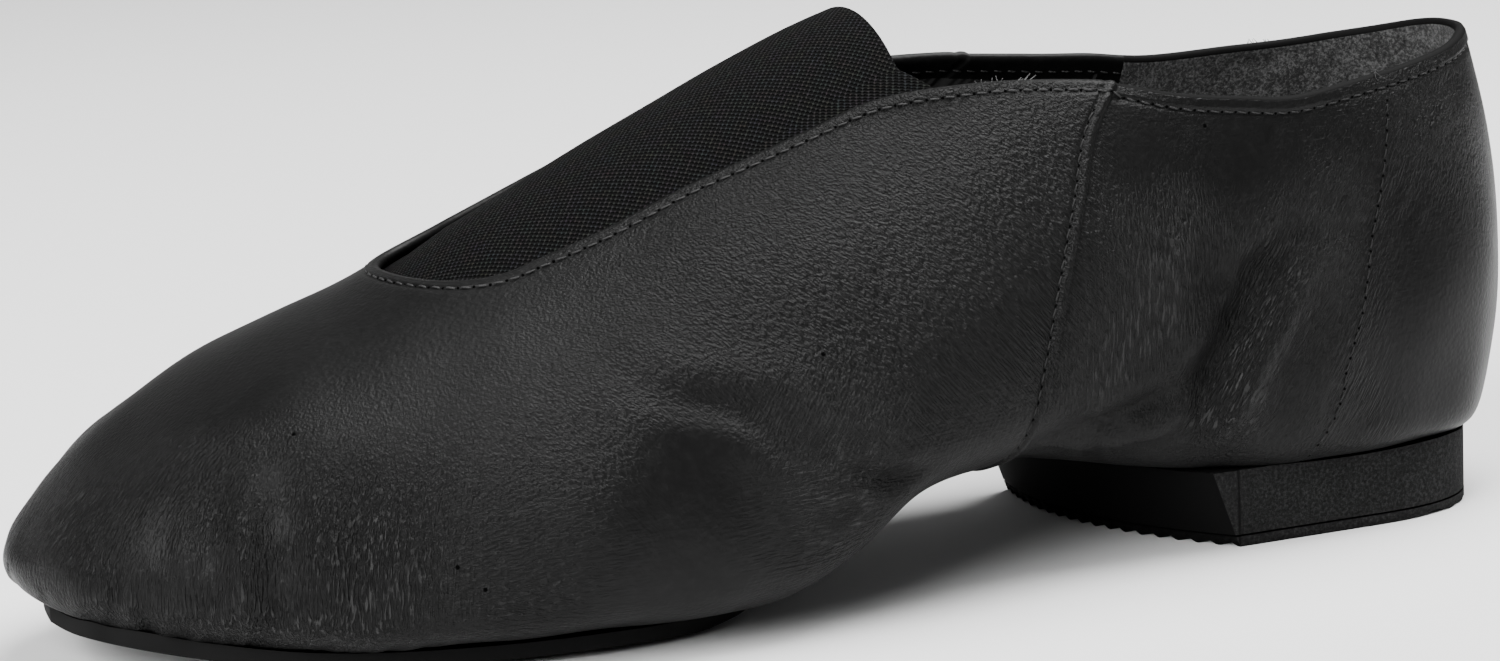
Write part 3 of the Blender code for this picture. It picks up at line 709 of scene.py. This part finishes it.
def waveHeights(points):  # a slack hide is never quite smooth
    rng = np.random.default_rng(waves["seed"])
    height = np.zeros(len(points))
    for _ in range(waves["count"]):
        direction = unit(rng.normal(size=3))
        length = rng.uniform(waves["shortest"], waves["longest"]) * mm
        height += np.sin(points @ direction * 2 * pi / length + rng.uniform(0, 2 * pi)) * length / (30 * mm)
    return height * waves["height"] * mm


def patchShares(points, side, place, turn, reach):  # 1 at the patch's middle, falling over its reach in mm
    centre = facePoints(np.array([place / 1000]), np.array([sided(turn, side)]))
    return hump(np.linalg.norm(points - centre, axis=1), 0, reach * mm)


def grainWays(points, side):  # how strongly each set of stretch lines shows
    ways = np.full((len(points), 4), grain["base"] / 2)
    for place, turn, reach, strength, way in grainPatches:
        ways[:, way] += strength * patchShares(points, side, place, turn, reach)
    ways /= np.maximum(ways.sum(1, keepdims=True), 1)
    ways[:, 2] *= grain["fallingShare"]
    for place, turn, reach in smoothPatches:
        ways *= 1 - grain["smoothing"] * patchShares(points, side, place, turn, reach)[:, None]
    return ways


def makeUpper(leather, suede, drill, foldedEdge):
    rows = upperRows()
    loop = edgeLoop()[0]
    columns = upperCut["columns"]
    aheadOfSeam = (rows - seam["at"]) * last["length"] / mm
    lap = seam["step"] * smoothStep(-0.15, 0.2, aheadOfSeam)
    lap *= hump(np.maximum(rows - seam["at"], 0), 0, seam["fade"])
    lap += fold["raise"] * mm * hump(aheadOfSeam, fold["at"], fold["width"])
    lap -= fold["groove"] * mm * hump(aheadOfSeam, fold["grooveAt"], fold["grooveWidth"])
    quarter = smoothStep(0.3, -0.3, aheadOfSeam)
    points, faces, finish, wrinkles, grains = [], [], [], [], []
    first = 0
    for side in (1, 2):
        turns = arcTurns(rows, side)
        along = slanted(rows[:, None], turns)
        base = facePoints(along, turns)
        normal = faceNormals(along, turns)
        flat = base.reshape(-1, 3)
        creased, wrinkle = creaseHeights(flat)
        slow = (creased + waveHeights(flat)).reshape(turns.shape)
        slow *= 1 - smoothStep(*upperCut["solesFlat"], -aboveWidest(turns))  # flat on the sole and the heel
        edge = nearest(flat, loop).reshape(turns.shape) / mm
        slow *= smoothStep(0, 3, edge)
        width = hem["throatWidth"] + (hem["collarWidth"] - hem["throatWidth"]) * quarter[:, None]
        raised = hem["throatRaise"] + (hem["collarRaise"] - hem["throatRaise"]) * quarter[:, None]
        band = raised * (1 - smoothStep(width - hem["soft"], width + hem["beyond"], edge))
        band -= hem["groove"] * hump(edge, width + hem["beyond"], hem["soft"])
        seamShare = np.where(edge < hem["seamThin"][0], hem["seamThin"][1], 1.0)
        outer = base + normal * (slow + band * mm + lap[:, None] * seamShare)[..., None]
        atEdge = columns - upperCut["edgeColumns"]
        keep = {*range(0, atEdge, upperCut["innerStep"]), columns - 1}
        keep = sorted(keep | {*range(atEdge, columns, upperCut["innerStepAtEdge"])})[::-1]
        inner = (base - normal * (last["wall"] - slow - lap[:, None] * seam["inside"])[..., None])[:, keep]
        tangent = unit(np.gradient(outer[:, -1], axis=0))
        tangent[0] = (0, 1 if side == 1 else -1, 0)
        tangent[0] = unit(tangent[0] - normal[0, -1] * (tangent[0] @ normal[0, -1]))
        outward = unit(np.cross(tangent, normal[:, -1])) * (1 if side == 1 else -1)
        tipRow = int(np.argmin(np.abs(rows - throat["tip"])))
        outward[tipRow] = unit(np.cross((0, 1, 0), normal[tipRow, -1]))
        outward[tipRow] *= -np.sign(outward[tipRow][0])
        middle = (outer[:, -1] + inner[:, 0]) / 2
        half = np.linalg.norm(outer[:, -1] - inner[:, 0], axis=-1, keepdims=True) / 2
        rim = [middle + half * (normal[:, -1] * cos(radians(t)) + outward * sin(radians(t)))
               for t in upperCut["rimSteps"]]
        ring = np.concatenate((outer, np.stack(rim, 1), inner, outer[:, :1]), 1)
        width = ring.shape[1]
        quads = gridFaces(len(rows), width, first)
        row, column = np.divmod(np.arange(len(quads)), width - 1)
        rimFace = (column >= columns - 1) & (column < columns + len(rim))
        closing = column == width - 2
        inHole = np.zeros(len(rows), bool)
        for name in ("fore", "heel"):
            inHole |= (rows >= holes[name][0] - 1e-9) & (rows < holes[name][1] - 1e-9)
        drop = (rimFace & (row >= tipRow)) | (closing & ~inHole[row])
        inside = (column >= columns + len(rim)) & ~closing
        innerEdge = np.concatenate((edge[:, keep], edge[:, :1]), 1)
        at = np.clip(column - columns - len(rim), 0, innerEdge.shape[1] - 1)
        liningEnd = lining["outerEnd"] if side == 1 else lining["innerEnd"]
        place = turns[row, np.minimum(column, columns - 1)]
        behindSeam = rows[row] < liningEnd + lining["ragged"] * np.sin(place * lining["raggedTurns"])
        lined = np.where(innerEdge[row, at] < hem["liningFold"], 0, 2)
        kind = np.where(inside, np.where(behindSeam, 1, lined), 0)
        kind = np.where(rimFace & behindSeam, 3, kind)
        points.append(ring.reshape(-1, 3))
        faces.append(quads[~drop])
        finish.append(kind[~drop])
        spare = np.zeros((len(rows), width - columns))
        wrinkles.append(np.concatenate((wrinkle.reshape(turns.shape), spare), 1).ravel())
        grains.append(np.concatenate((grainWays(flat, side).reshape(*turns.shape, 4),
                                      np.zeros((*spare.shape, 4))), 1).reshape(-1, 4))
        first += len(points[-1])
    upper = newPiece("leatherUpper", np.concatenate(points), np.concatenate(faces),
                     [leather, suede, drill, foldedEdge], np.concatenate(finish))
    for name, kind, key, values in (("wrinkle", "FLOAT", "value", wrinkles),
                                    ("grainWay", "FLOAT_COLOR", "color", grains)):
        attribute = upper.data.attributes.new(name, kind, "POINT")
        attribute.data.foreach_set(key, np.concatenate(values).astype(np.float32).ravel())
    tidyMesh(upper, 2e-6)
    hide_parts("upper")
    return upper


leather = gloveLeather()
suede = splitSuede()
drill = drillLining()
# The collar's folded edge, rubbed dark with edge dressing
foldedEdge = newMaterial("dressed leather edge", "#0a0a0a", 0.7, 0.06)[0]
upper = makeUpper(leather, suede, drill, foldedEdge)
print("upper done:", len(upper.data.polygons), "faces")

# The gore: a woven elastic sheet under the throat, sewn in below the edge and full in the middle
gore = {
    "front": 0.790, "crest": 0.487, "corner": 0.466, "rise": 0.0016, "margin": 4.0, "sunkFrom": 0.762,
    "fade": 0.05, "dip": 0.0002, "dipRun": 0.022, "tuckFrom": 0.735, "tuck": 0.0060,
    "cornerTurn": 62.0, "cornerSpan": 12.0, "thickness": 0.0012, "rows": 120, "columns": 84,
    "hole": 0.74,  # mm between the holes of the mesh
}


def elasticMesh():
    # Warp-knitted elastic, black nylon over rubber: matt yarn with staggered round holes, 0.22 mm deep; the
    # holes are painted black as their shade
    finish, tree, shader = newMaterial("knitted elastic", "#161617", 0.85, 0.06)
    place = addNode(tree, "UVMap")
    scale = 1 / gore["hole"]
    scaled = addMapping(tree, (place, "UV"), (0, 0, 45), (scale, scale, 1))
    cells = addNode(tree, "TexVoronoi", {"voronoi_dimensions": "2D"}, {"Scale": 1.0, "Randomness": 0.12},
                    {"Vector": (scaled, "Vector")})
    slub = addNode(tree, "TexNoise", {"noise_dimensions": "2D"}, {"Scale": 0.35, "Detail": 3.0},
                   {"Vector": (place, "UV")})
    # the cells' centres go to black: painted shade in the holes; the rest is the yarn's own tone
    yarnAndHoleShade = ramp(tree, cells, "Distance", ((0.38, "#000000"), (0.46, "#080808"), (0.62, "#262626")))
    shade = addMix(tree, "MULTIPLY", 0.5, (yarnAndHoleShade, "Color"), (slub, "Color"))
    height = ramp(tree, cells, "Distance", ((0.15, 0.0), (0.5, 1.0)))
    joinShader(tree, shader, addBump(tree, height, "Color", 0.22), (shade, "Result"))
    return finish


def addFlatMap(piece, rows, columns, points):  # a UV map in millimetres of cloth
    grid, middle = points.reshape(rows, columns, 3), columns // 2
    across = arcLengths(grid)
    across -= across[:, middle][:, None]
    lengthwise = np.broadcast_to(arcLengths(grid[:, middle])[:, None], across.shape)
    flat = np.stack((across, lengthwise), -1).reshape(-1, 2) / mm
    layer = piece.data.uv_layers.new(name="UVMap")
    corner = np.empty(len(piece.data.loops), np.int32)
    piece.data.loops.foreach_get("vertex_index", corner)
    layer.data.foreach_set("uv", flat[corner].astype(np.float32).ravel())


def makeGore(elastic):
    share = np.linspace(0, 1, gore["rows"] + 1)[:, None]
    middle = gore["crest"] + (gore["front"] - gore["crest"]) * share
    tuck = np.degrees(gore["tuck"] / sectionAt(middle)["half"])
    held = np.minimum(middle, gore["tuckFrom"])
    low, high = edgeTurn(held, 1) - tuck, 180 - (edgeTurn(held, 2) - tuck)
    half = np.linspace(0, 1, gore["columns"] // 2 + 1)[None]
    turn = np.concatenate((low + (90 - low) * half, 90 + (high - 90) * half[:, 1:]), 1)
    height = aboveWidest(turn)
    fallen = np.clip((gore["cornerTurn"] - height) / gore["cornerSpan"], 0, 1)
    top = gore["crest"] - (gore["crest"] - gore["corner"]) * fallen
    along = top + (gore["front"] - top) * share
    free = np.where(turn <= 90, edgeTurn(along, 1), edgeTurn(along, 2)) + gore["margin"]
    clear = np.clip((height - free) / np.maximum(90 - free, 1e-6), 0, 1)
    rise = gore["rise"] * clear * (2 - clear) * np.clip((gore["sunkFrom"] - along) / gore["fade"], 0, 1)
    dip = gore["dip"] * hump(along, throat["tip"], gore["dipRun"])
    sunk = last["wall"] + last["fitGap"] + dip - rise
    points = facePoints(along, turn) - faceNormals(along, turn) * sunk[..., None]
    rows, columns = points.shape[:2]
    piece = newPiece("elasticGore", points.reshape(-1, 3), gridFaces(rows, columns), [elastic])
    addFlatMap(piece, rows, columns, points)
    cloth = piece.modifiers.new("cloth", "SOLIDIFY")
    cloth.thickness, cloth.offset, cloth.use_even_offset = gore["thickness"], -1, True
    applyModifiers(piece)
    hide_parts("gore")


makeGore(elasticMesh())
print("gore done")

# Sole, insole and heel: pads that follow the leather's underside
soles = {
    "gap": 0.0003, "thickness": 0.0018, "levelling": 0.0003, "rounding": 0.0004,
    "skive": 0.75, "skiveFrom": 0.152, "skiveTo": 0.134, "rows": 90, "columns": 44,
    "insoleGap": 0.0004, "insoleThickness": 0.0015, "insoleRounding": 0.0006,
}
heelLook = {"rows": 30, "columns": 26, "levels": 6, "rounding": 0.0006, "backPower": 2.6, "joint": 0.0258}
liftLook = {"ribs": 18, "ribDepth": 0.0006, "rows": 50, "columns": 162}


def soleRubber():
    # Crepe-grained rubber sheet, cut with a knife: matt black, fine 0.7 mm pebble
    finish, tree, shader = newMaterial("rubber sheet", "#050505", 0.9, 0.06)
    pebble = addNoise(tree, addNode(tree, "TexCoord"), 0.7, 3.0)
    shade = ramp(tree, pebble, "Fac", ((0.35, "#030303"), (0.7, "#0a0a0a")))
    joinShader(tree, shader, addBump(tree, pebble, "Fac", 0.25, 0.7), (shade, "Color"))
    return finish


def heelCover():
    # The heel's sides are covered in buffed leather board: a rough grey nap about 0.5 mm across. The cover
    # is folded over at the front corner, which leaves one dark upright joint.
    finish, tree, shader = newMaterial("buffed leather board", "#242424", 0.93, 0.15)
    place = addNode(tree, "TexCoord")
    nap, broad = addNoise(tree, place, 0.55, 5.0, 0.75), addNoise(tree, place, 9)
    shade = ramp(tree, nap, "Fac", ((0.34, "#050505"), (0.5, "#171717"), (0.66, "#2f2f2f")))
    tone = ramp(tree, broad, "Fac", ((0.3, 0.75), (0.7, 1.0)))
    both = addMix(tree, "MULTIPLY", 1.0, (shade, "Color"), (tone, "Color"))
    where = addNode(tree, "SeparateXYZ", links={"Vector": (place, "Object")})
    waver = addMath(tree, "MULTIPLY_ADD", (broad, "Fac"), 0.6 * mm, (where, "X"))
    nearJoint = addMapRange(tree, (waver, "Value"), heelLook["joint"] - 1 * mm, heelLook["joint"] + 1 * mm)
    joint = ramp(tree, nearJoint, "Result", ((0.36, 1.0), (0.45, 0.0), (0.55, 0.0), (0.64, 1.0)))
    cut = addBump(tree, joint, "Color", 0.5, 1.0, addBump(tree, nap, "Fac", 0.35, 0.8))
    dark = addMix(tree, "MULTIPLY", 0.8, (both, "Result"), (joint, "Color"))
    joinShader(tree, shader, cut, (dark, "Result"))
    return finish


def soleEdge():
    # The sheet's cut edge is buffed, which leaves it a shade greyer than its face
    return newMaterial("buffed rubber edge", "#0e0e0e", 0.85, 0.10)[0]


def breastShadeBlack():
    # The breast: matt, even near-black, darker than the heel's cover, as painted shade of the breast's
    # place under the arch
    return newMaterial("breast black, painted shade", "#090909", 0.85, 0.05)[0]


def sockCloth():
    # Sock lining: black brushed jersey over board, 0.8 mm loops
    finish, tree, shader = newMaterial("brushed jersey", "#111112", 0.95, 0.15)
    loops = addNode(tree, "TexVoronoi", {}, {"Scale": 1 / (0.8 * mm), "Randomness": 0.5},
                    {"Vector": (addNode(tree, "TexCoord"), "Object")})
    shade = ramp(tree, loops, "Distance", ((0.1, "#0f0f10"), (0.6, "#202022")))
    joinShader(tree, shader, addBump(tree, loops, "Distance", 0.15, 0.6), (shade, "Color"))
    return finish


def padPlan(outline, rows, columns):  # places across an outline that follows the sections
    start, end = outline[0][0], outline[-1][0]
    along = start + (end - start) * (1 - np.cos(pi * np.arange(rows + 1) / rows)) / 2
    part = sectionAt(along)
    half = np.maximum(readTable(outline, 1, along), 0) * part["half"]
    across = np.sin(pi / 2 * np.linspace(-1, 1, columns + 1))
    x = placeAlong(along, part["under"], part["under"])
    return np.repeat(x[:, None], columns + 1, 1), part["middle"][:, None] + half[:, None] * across


def closedPad(name, low, high, levels, finishes, wallFinish=0):  # two grids and the wall between them
    rows, columns = low.shape[:2]
    count = rows * columns
    points = [low.reshape(-1, 3), high.reshape(-1, 3)]
    faces = [gridFaces(rows, columns), gridFaces(rows, columns, count)]
    finish = [np.zeros(len(faces[0])), np.zeros(len(faces[1]))]
    first = 2 * count
    for cut in (np.s_[:, 0], np.s_[:, -1], 0, -1):
        start, end = low[cut], high[cut]
        share = np.linspace(0, 1, levels + 1)[:, None, None]
        wall = start[None] + (end - start)[None] * share
        points.append(wall.reshape(-1, 3))
        faces.append(gridFaces(levels + 1, len(start), first))
        finish.append(np.full(len(faces[-1]), wallFinish))
        first += wall.shape[0] * wall.shape[1]
    finish[-1][:] = len(finishes) - 1 if wallFinish else 0
    piece = newPiece(name, np.concatenate(points), np.concatenate(faces), finishes, np.concatenate(finish))
    tidyMesh(piece, 1e-5)
    return piece


def roundEdges(piece, width, segments=3, angle=50):
    edge = piece.modifiers.new("rounding", "BEVEL")
    edge.width, edge.segments = width, segments
    edge.limit_method, edge.angle_limit = "ANGLE", radians(angle)
    edge.use_clamp_overlap = True
    applyModifiers(piece)


def heelPlan(rake, rows, columns):
    half, length = heelBlock["width"] / 2, heelBlock["length"]
    roundShare = half / length
    shares = np.concatenate((roundShare * (1 - np.cos(pi / 2 * np.linspace(0, 1, rows // 2 + 1))),
                             np.linspace(roundShare, 1, rows - rows // 2 + 1)[1:]))
    power = heelLook["backPower"]
    reach = half * (1 - np.maximum(1 - shares / roundShare, 0) ** power) ** (1 / power)
    place = np.sin(pi / 2 * np.linspace(-1, 1, columns + 1))
    front = length + heelBlock["skew"] * (1 - place) / 2 + heelBlock["bulge"] * (1 - place**2) + rake
    shares = shares[:, None]
    x = heelBlock["inset"] + length * shares + (front - length) * shares**3 - last["heelCentre"]
    return x, reach[:, None] * place


def followingPad(name, plan, heights, finishes, rounding):  # a thin pad along the underside
    low, high = (np.stack((*plan, height), -1) for height in heights)
    piece = closedPad(name, low, high, 1, finishes, len(finishes) - 1)
    roundEdges(piece, rounding)
    return piece


def makeSole(rubber, edge):
    x, y = padPlan(soleOutline, soles["rows"], soles["columns"])
    high = undersideMoved(x, y, -soles["gap"])
    skive = 1 - soles["skive"] * smoothStep(soles["skiveFrom"], soles["skiveTo"], x + last["heelCentre"])
    depth = soles["gap"] + soles["thickness"] * skive
    low = np.maximum(undersideMoved(x, y, -depth) - soles["levelling"] * skive, 0)
    piece = followingPad("forefootSole", (x, y), (low, high), [rubber, edge], soles["rounding"])
    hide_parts("forefoot_sole")


def makeInsole(sock):
    x, y = padPlan(insoleOutline, soles["rows"], soles["columns"])
    rise = last["wall"] + soles["insoleGap"]
    heights = [undersideMoved(x, y, rise + more) for more in (0, soles["insoleThickness"])]
    piece = followingPad("sockLining", (x, y), heights, [sock], soles["insoleRounding"])
    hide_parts("insole")


def makeHeel(cover, breastShade):
    base = heelBlock["lift"] + last["fitGap"]
    rows, columns = heelLook["rows"], heelLook["columns"]
    x, y = heelPlan(heelBlock["rake"] * base / last["heelSeat"], rows, columns)
    low = np.stack((x, y, np.full(x.shape, base)), -1)
    x, y = heelPlan(heelBlock["rake"], rows, columns)
    top = np.minimum(undersideMoved(x, y, -last["fitGap"]), last["heelSeat"] + heelBlock["cup"])
    piece = closedPad("heelBlock", low, np.stack((x, y, top), -1), heelLook["levels"],
                      [cover, cover, breastShade], 1)
    roundEdges(piece, heelLook["rounding"])
    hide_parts("heel")


def makeTopLift(rubber, cover):  # its sides are buffed with the heel's
    rows, columns = liftLook["rows"], liftLook["columns"]
    x, y = heelPlan(0, rows, columns)
    even = np.linspace(-1, 1, columns + 1)
    reach = np.abs(y).max(1, keepdims=True)
    place = np.arcsin(np.clip(y / np.maximum(reach, 1e-9), -1, 1)) * 2 / pi
    y = reach * even[None]
    x = np.array([np.interp(even, np.sin(pi / 2 * p), r) for p, r in zip(place, x)])
    rib = liftLook["ribDepth"] * (0.5 - 0.5 * np.cos(y / heelBlock["width"] * liftLook["ribs"] * 2 * pi))
    rake = heelBlock["rake"] * heelBlock["lift"] / last["heelSeat"]
    low = np.stack((x, y, rib), -1)
    x = x + rake * np.linspace(0, 1, rows + 1)[:, None] ** 3
    high = np.stack((x, y, np.full(x.shape, heelBlock["lift"])), -1)
    piece = closedPad("ribbedLift", low, high, 1, [rubber, cover, rubber], 1)
    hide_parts("top_lift")


rubber = soleRubber()
makeSole(rubber, soleEdge())
makeInsole(sockCloth())
cover = heelCover()
# the heel's front wall takes the breast's near-black finish, which is painted shade
makeHeel(cover, breastShadeBlack())
makeTopLift(rubber, cover)
print("sole, insole and heel done")

# Thread: rows of joined stitches, and dark discs between them as the painted shadow of the needle's holes
thread = {  # mm, and degrees of slant
    "pitch": 2.4, "stitch": 1.9, "thick": 0.34, "fine": 0.22, "stand": 0.08, "sunk": 0.25, "slant": 7,
    "sides": 6, "rings": 7, "hole": 0.24, "spot": 0.32, "holeSides": 8, "holeDepth": 0.2,
    "throatRow": 1.30, "collarRow": 1.75, "seamRow": 1.65, "foldRow": 0.82,
    "seamFrom": -80, "seamBelowEdge": 3.5,  # degrees
    "seamPlaces": 160, "counterPlaces": 200,  # finely read lines
    "tipRun": 0.02, "tipPush": 1.2, "tipWidth": 0.004,  # the row rounds the throat's tip farther out
}
strand = {"seed": 3, "steps": 7, "sides": 4, "radius": 0.09, "taper": 0.7, "sunk": 0.25, "bend": 0.5}
counterLine = (  # along, degrees up the section
    (0.132, 37), (0.148, 26), (0.164, 17), (0.174, 9), (0.186, 2), (0.196, -6), (0.206, -25), (0.208, -60),
)
looseEnds = (  # along, side, how many, length in mm, how far they stand up, and the finish
    (0.457, 1, 14, 2.4, 0.02, 2), (0.135, 1, 2, 3.6, -1.0, 0), (0.106, 2, 8, 1.6, 1.0, 1),
)
# small pits in the leather, drawn as dark dots with the needle holes' painted shadow: along, degrees
spots = ((0.792, 5), (0.778, 0), (0.566, 22), (0.328, 35), (0.360, 42), (0.860, 45))


def threadFinish(name, colour, gloss):
    # Spun polyester thread, bonded: a little gloss on the twist, and greyer at the edges than in the seams
    finish, tree, shader = newMaterial(name, colour, 0.6, gloss)
    twist = addNode(tree, "TexWave", {"wave_type": "BANDS", "bands_direction": "DIAGONAL"},
                    {"Scale": 1 / (1.2 * mm)}, {"Vector": (addNode(tree, "TexCoord"), "Object")})
    joinShader(tree, shader, addBump(tree, twist, "Fac", 0.06, 0.6))
    return finish


class Leather:  # finds the made leather's face, from outside or from inside
    def __init__(self, piece):
        mesh = piece.data
        self.tree = BVHTree.FromPolygons([v.co for v in mesh.vertices], [p.vertices for p in mesh.polygons])

    def seat(self, points, normals, inside=False):
        found, facing = [], []
        for point, normal in zip(points, normals):
            outward = Vector(-normal if inside else normal)
            reach = 5 * mm if inside else 4 * mm
            hit, face, _, _ = self.tree.ray_cast(Vector(point) + outward * reach, -outward, 2 * reach)
            if hit is None:
                continue
            found.append(hit)
            facing.append(face if face.dot(outward) > 0 else -face)
        return np.array(found), np.array(facing)


def evenSteps(points, normals, pitch):  # the same line at even spacing
    arc = arcLengths(points)
    at = np.linspace(0, arc[-1], max(2, round(arc[-1] / pitch) + 1))
    places, facing = (np.stack([np.interp(at, arc, line) for line in part.T], 1)
                      for part in (points, normals))
    return places, unit(facing)


def addTube(rings, made, faces):  # a tube through rings of points, closed at both ends
    count, sides = rings.shape[:2]
    first = sum(len(p) for p in made)
    made.append(rings.reshape(-1, 3))
    row, column = first + np.arange(count - 1)[:, None] * sides, np.arange(sides)
    at, following = row + column, row + (column + 1) % sides
    faces += np.stack((at, following, following + sides, at + sides), -1).reshape(-1, 4).tolist()
    faces += [list(range(end, end + sides)) for end in (first, first + (count - 1) * sides)]


def addStitches(points, normals, made, faces, thick=thread["thick"]):  # a capsule between each two places
    u = np.linspace(-1, 1, thread["rings"])[:, None, None]
    round_ = np.arange(thread["sides"])[None, :, None] * 2 * pi / thread["sides"]
    swell = np.sqrt(np.maximum(1 - u**4, 0.004))
    arch = thread["stand"] * mm * (1 - u**2) - thread["sunk"] * mm * u**4
    tangent = points[1:] - points[:-1]
    step = np.linalg.norm(tangent, axis=1)
    tangent = tangent / step[:, None]
    normal = unit(normals[1:] + normals[:-1])
    side = unit(np.cross(tangent, normal))
    lean = radians(thread["slant"])
    tangent = tangent * cos(lean) + side * sin(lean)
    side = unit(np.cross(tangent, normal))
    half = thread["stitch"] / thread["pitch"] * step / 2
    radius = thick / 2 * mm
    for c, t, n, s, h in zip((points[1:] + points[:-1]) / 2, tangent, normal, side, half):
        rings = c + t * u * h + n * (arch + radius * swell * np.cos(round_))
        addTube(rings + s * radius * swell * np.sin(round_), made, faces)


def addStrand(start, away, droop, length, made, faces):  # a loose end: a thin tapered tube that bends over
    u = np.linspace(0, 1, strand["steps"])[:, None]
    line = start + (away * (u - strand["sunk"]) + droop * strand["bend"] * u**2) * length * mm
    across = unit(np.cross(away, droop + np.array([0.3, 0.2, 0.1])))
    other = np.cross(unit(away), across)
    round_ = np.arange(strand["sides"])[None, :, None] * 2 * pi / strand["sides"]
    radius = strand["radius"] * mm * (1 - strand["taper"] * u[:, None])
    addTube(line[:, None] + (across * np.cos(round_) + other * np.sin(round_)) * radius, made, faces)


def addHoles(points, normals, radius, made, faces):  # a small dark dot at each place, barely raised: the painted shadow of a hole
    sides = thread["holeSides"]
    turns = np.arange(sides)[:, None] * 2 * pi / sides
    for p, n in zip(points, normals):
        first = sum(len(m) for m in made)
        across = unit(np.cross(n, (0.3, 0.2, 0.9)))
        rim = (across * np.cos(turns) + np.cross(n, across) * np.sin(turns)) * radius * mm
        rim = p + n * 0.02 * mm + rim
        made.append(np.concatenate((rim, rim - n * thread["holeDepth"] * mm, [p + n * 0.07 * mm])))
        for i in range(sides):
            j = (i + 1) % sides
            faces.append([first + i, first + j, first + 2 * sides])
            faces.append([first + sides + i, first + sides + j, first + j, first + i])
        faces.append([first + sides + i for i in reversed(range(sides))])


def makeStitching(face):
    made, faces, holesMade, holeFaces = [], [], [], []
    rng = np.random.default_rng(strand["seed"])
    pitch = thread["pitch"] * mm
    places, normals, shares = edgeLoop()
    tangent = unit(np.gradient(places, axis=0))
    inward = unit(np.cross(tangent, normals))
    inward *= np.where(inward[:, 2] > 0, -1, 1)[:, None]
    ahead = smoothStep(-2, 3, (shares - seam["at"]) * last["length"] / mm)
    offset = thread["collarRow"] + (thread["throatRow"] - thread["collarRow"]) * ahead
    atTip = shares[:, None] > throat["tip"] - thread["tipRun"]
    push = np.array([thread["tipPush"], 0, 0])
    toeward = inward + push * hump(shares, throat["tip"], thread["tipWidth"])[:, None]
    edgeRow = places + unit(np.where(atTip, toeward, inward)) * offset[:, None] * mm
    edgeRow = face.seat(*evenSteps(edgeRow, normals, pitch))
    for side in (1, 2):
        top = edgeTurn(np.array([seam["at"]]), side)[0] - thread["seamBelowEdge"]
        turn = sided(np.linspace(thread["seamFrom"], top, thread["seamPlaces"]), side)
        nominal = seam["at"] + thread["seamRow"] * mm / last["length"]
        seamLine = slanted(np.full(turn.shape, nominal), turn), turn
        along, turn = smoothPath(counterLine, thread["counterPlaces"])
        for line, thick in ((seamLine, thread["thick"]), ((along, sided(turn, side)), thread["fine"])):
            row = face.seat(*evenSteps(facePoints(*line), faceNormals(*line), pitch))
            addStitches(*row, made, faces, thick)
            addHoles(*row, thread["hole"], holesMade, holeFaces)
    kinds = [1] * len(faces)
    addStitches(*edgeRow, made, faces)
    addHoles(*edgeRow, thread["hole"], holesMade, holeFaces)
    outer = np.arange(len(shares)) < len(shares) // 2
    inside = shares < gore["crest"] + 0.03
    for part in (outer & (shares > lining["outerEnd"]), ~outer & (shares > lining["innerEnd"])):
        part = part & inside
        folded = places[part] + inward[part] * hem["liningFold"] * thread["foldRow"] * mm
        addStitches(*face.seat(*evenSteps(folded, normals[part], pitch), True), made, faces)
    at = np.array(spots)
    spotRow = face.seat(facePoints(at[:, 0], at[:, 1]), faceNormals(at[:, 0], at[:, 1]))
    addHoles(*spotRow, thread["spot"], holesMade, holeFaces)
    kinds += [0] * (len(faces) - len(kinds))
    for along, side, number, length, rise, kind in looseEnds:
        spot = int(np.argmin(np.abs(shares - along) + (outer != (side == 1))))
        out, on, back = normals[spot], tangent[spot], inward[spot]
        for _ in range(number):
            start = places[spot] + (on * rng.uniform(-0.3, 0.3) * number - back * 0.5) * mm
            start += out * (0.3 if rise < 0 else -0.5) * mm
            away = unit(-back * rise + on * rng.normal(0, 0.6) + out * rng.uniform(0, 0.5))
            addStrand(start, away, out, rng.uniform(0.5, 1.0) * length, made, faces)
        kinds += [kind] * (len(faces) - len(kinds))
    looks = (("polyester thread", "#1f1f1f", 0.3), ("waxed thread", "#121212", 0.25),
             ("lining lint", "#7a7a7a", 0.1))
    finishes = [threadFinish(*look) for look in looks]
    stitching = newPiece("stitching", np.concatenate(made), faces, finishes, kinds)
    tidyMesh(stitching, 1e-7)
    shadow = newMaterial("needle hole shadow", "#020202", 0.95, 0.02)[0]
    newPiece("needleHoleShadows", np.concatenate(holesMade), holeFaces, [shadow])
    return stitching


stitching = makeStitching(Leather(upper))
print("stitching done:", len(stitching.data.polygons), "faces")
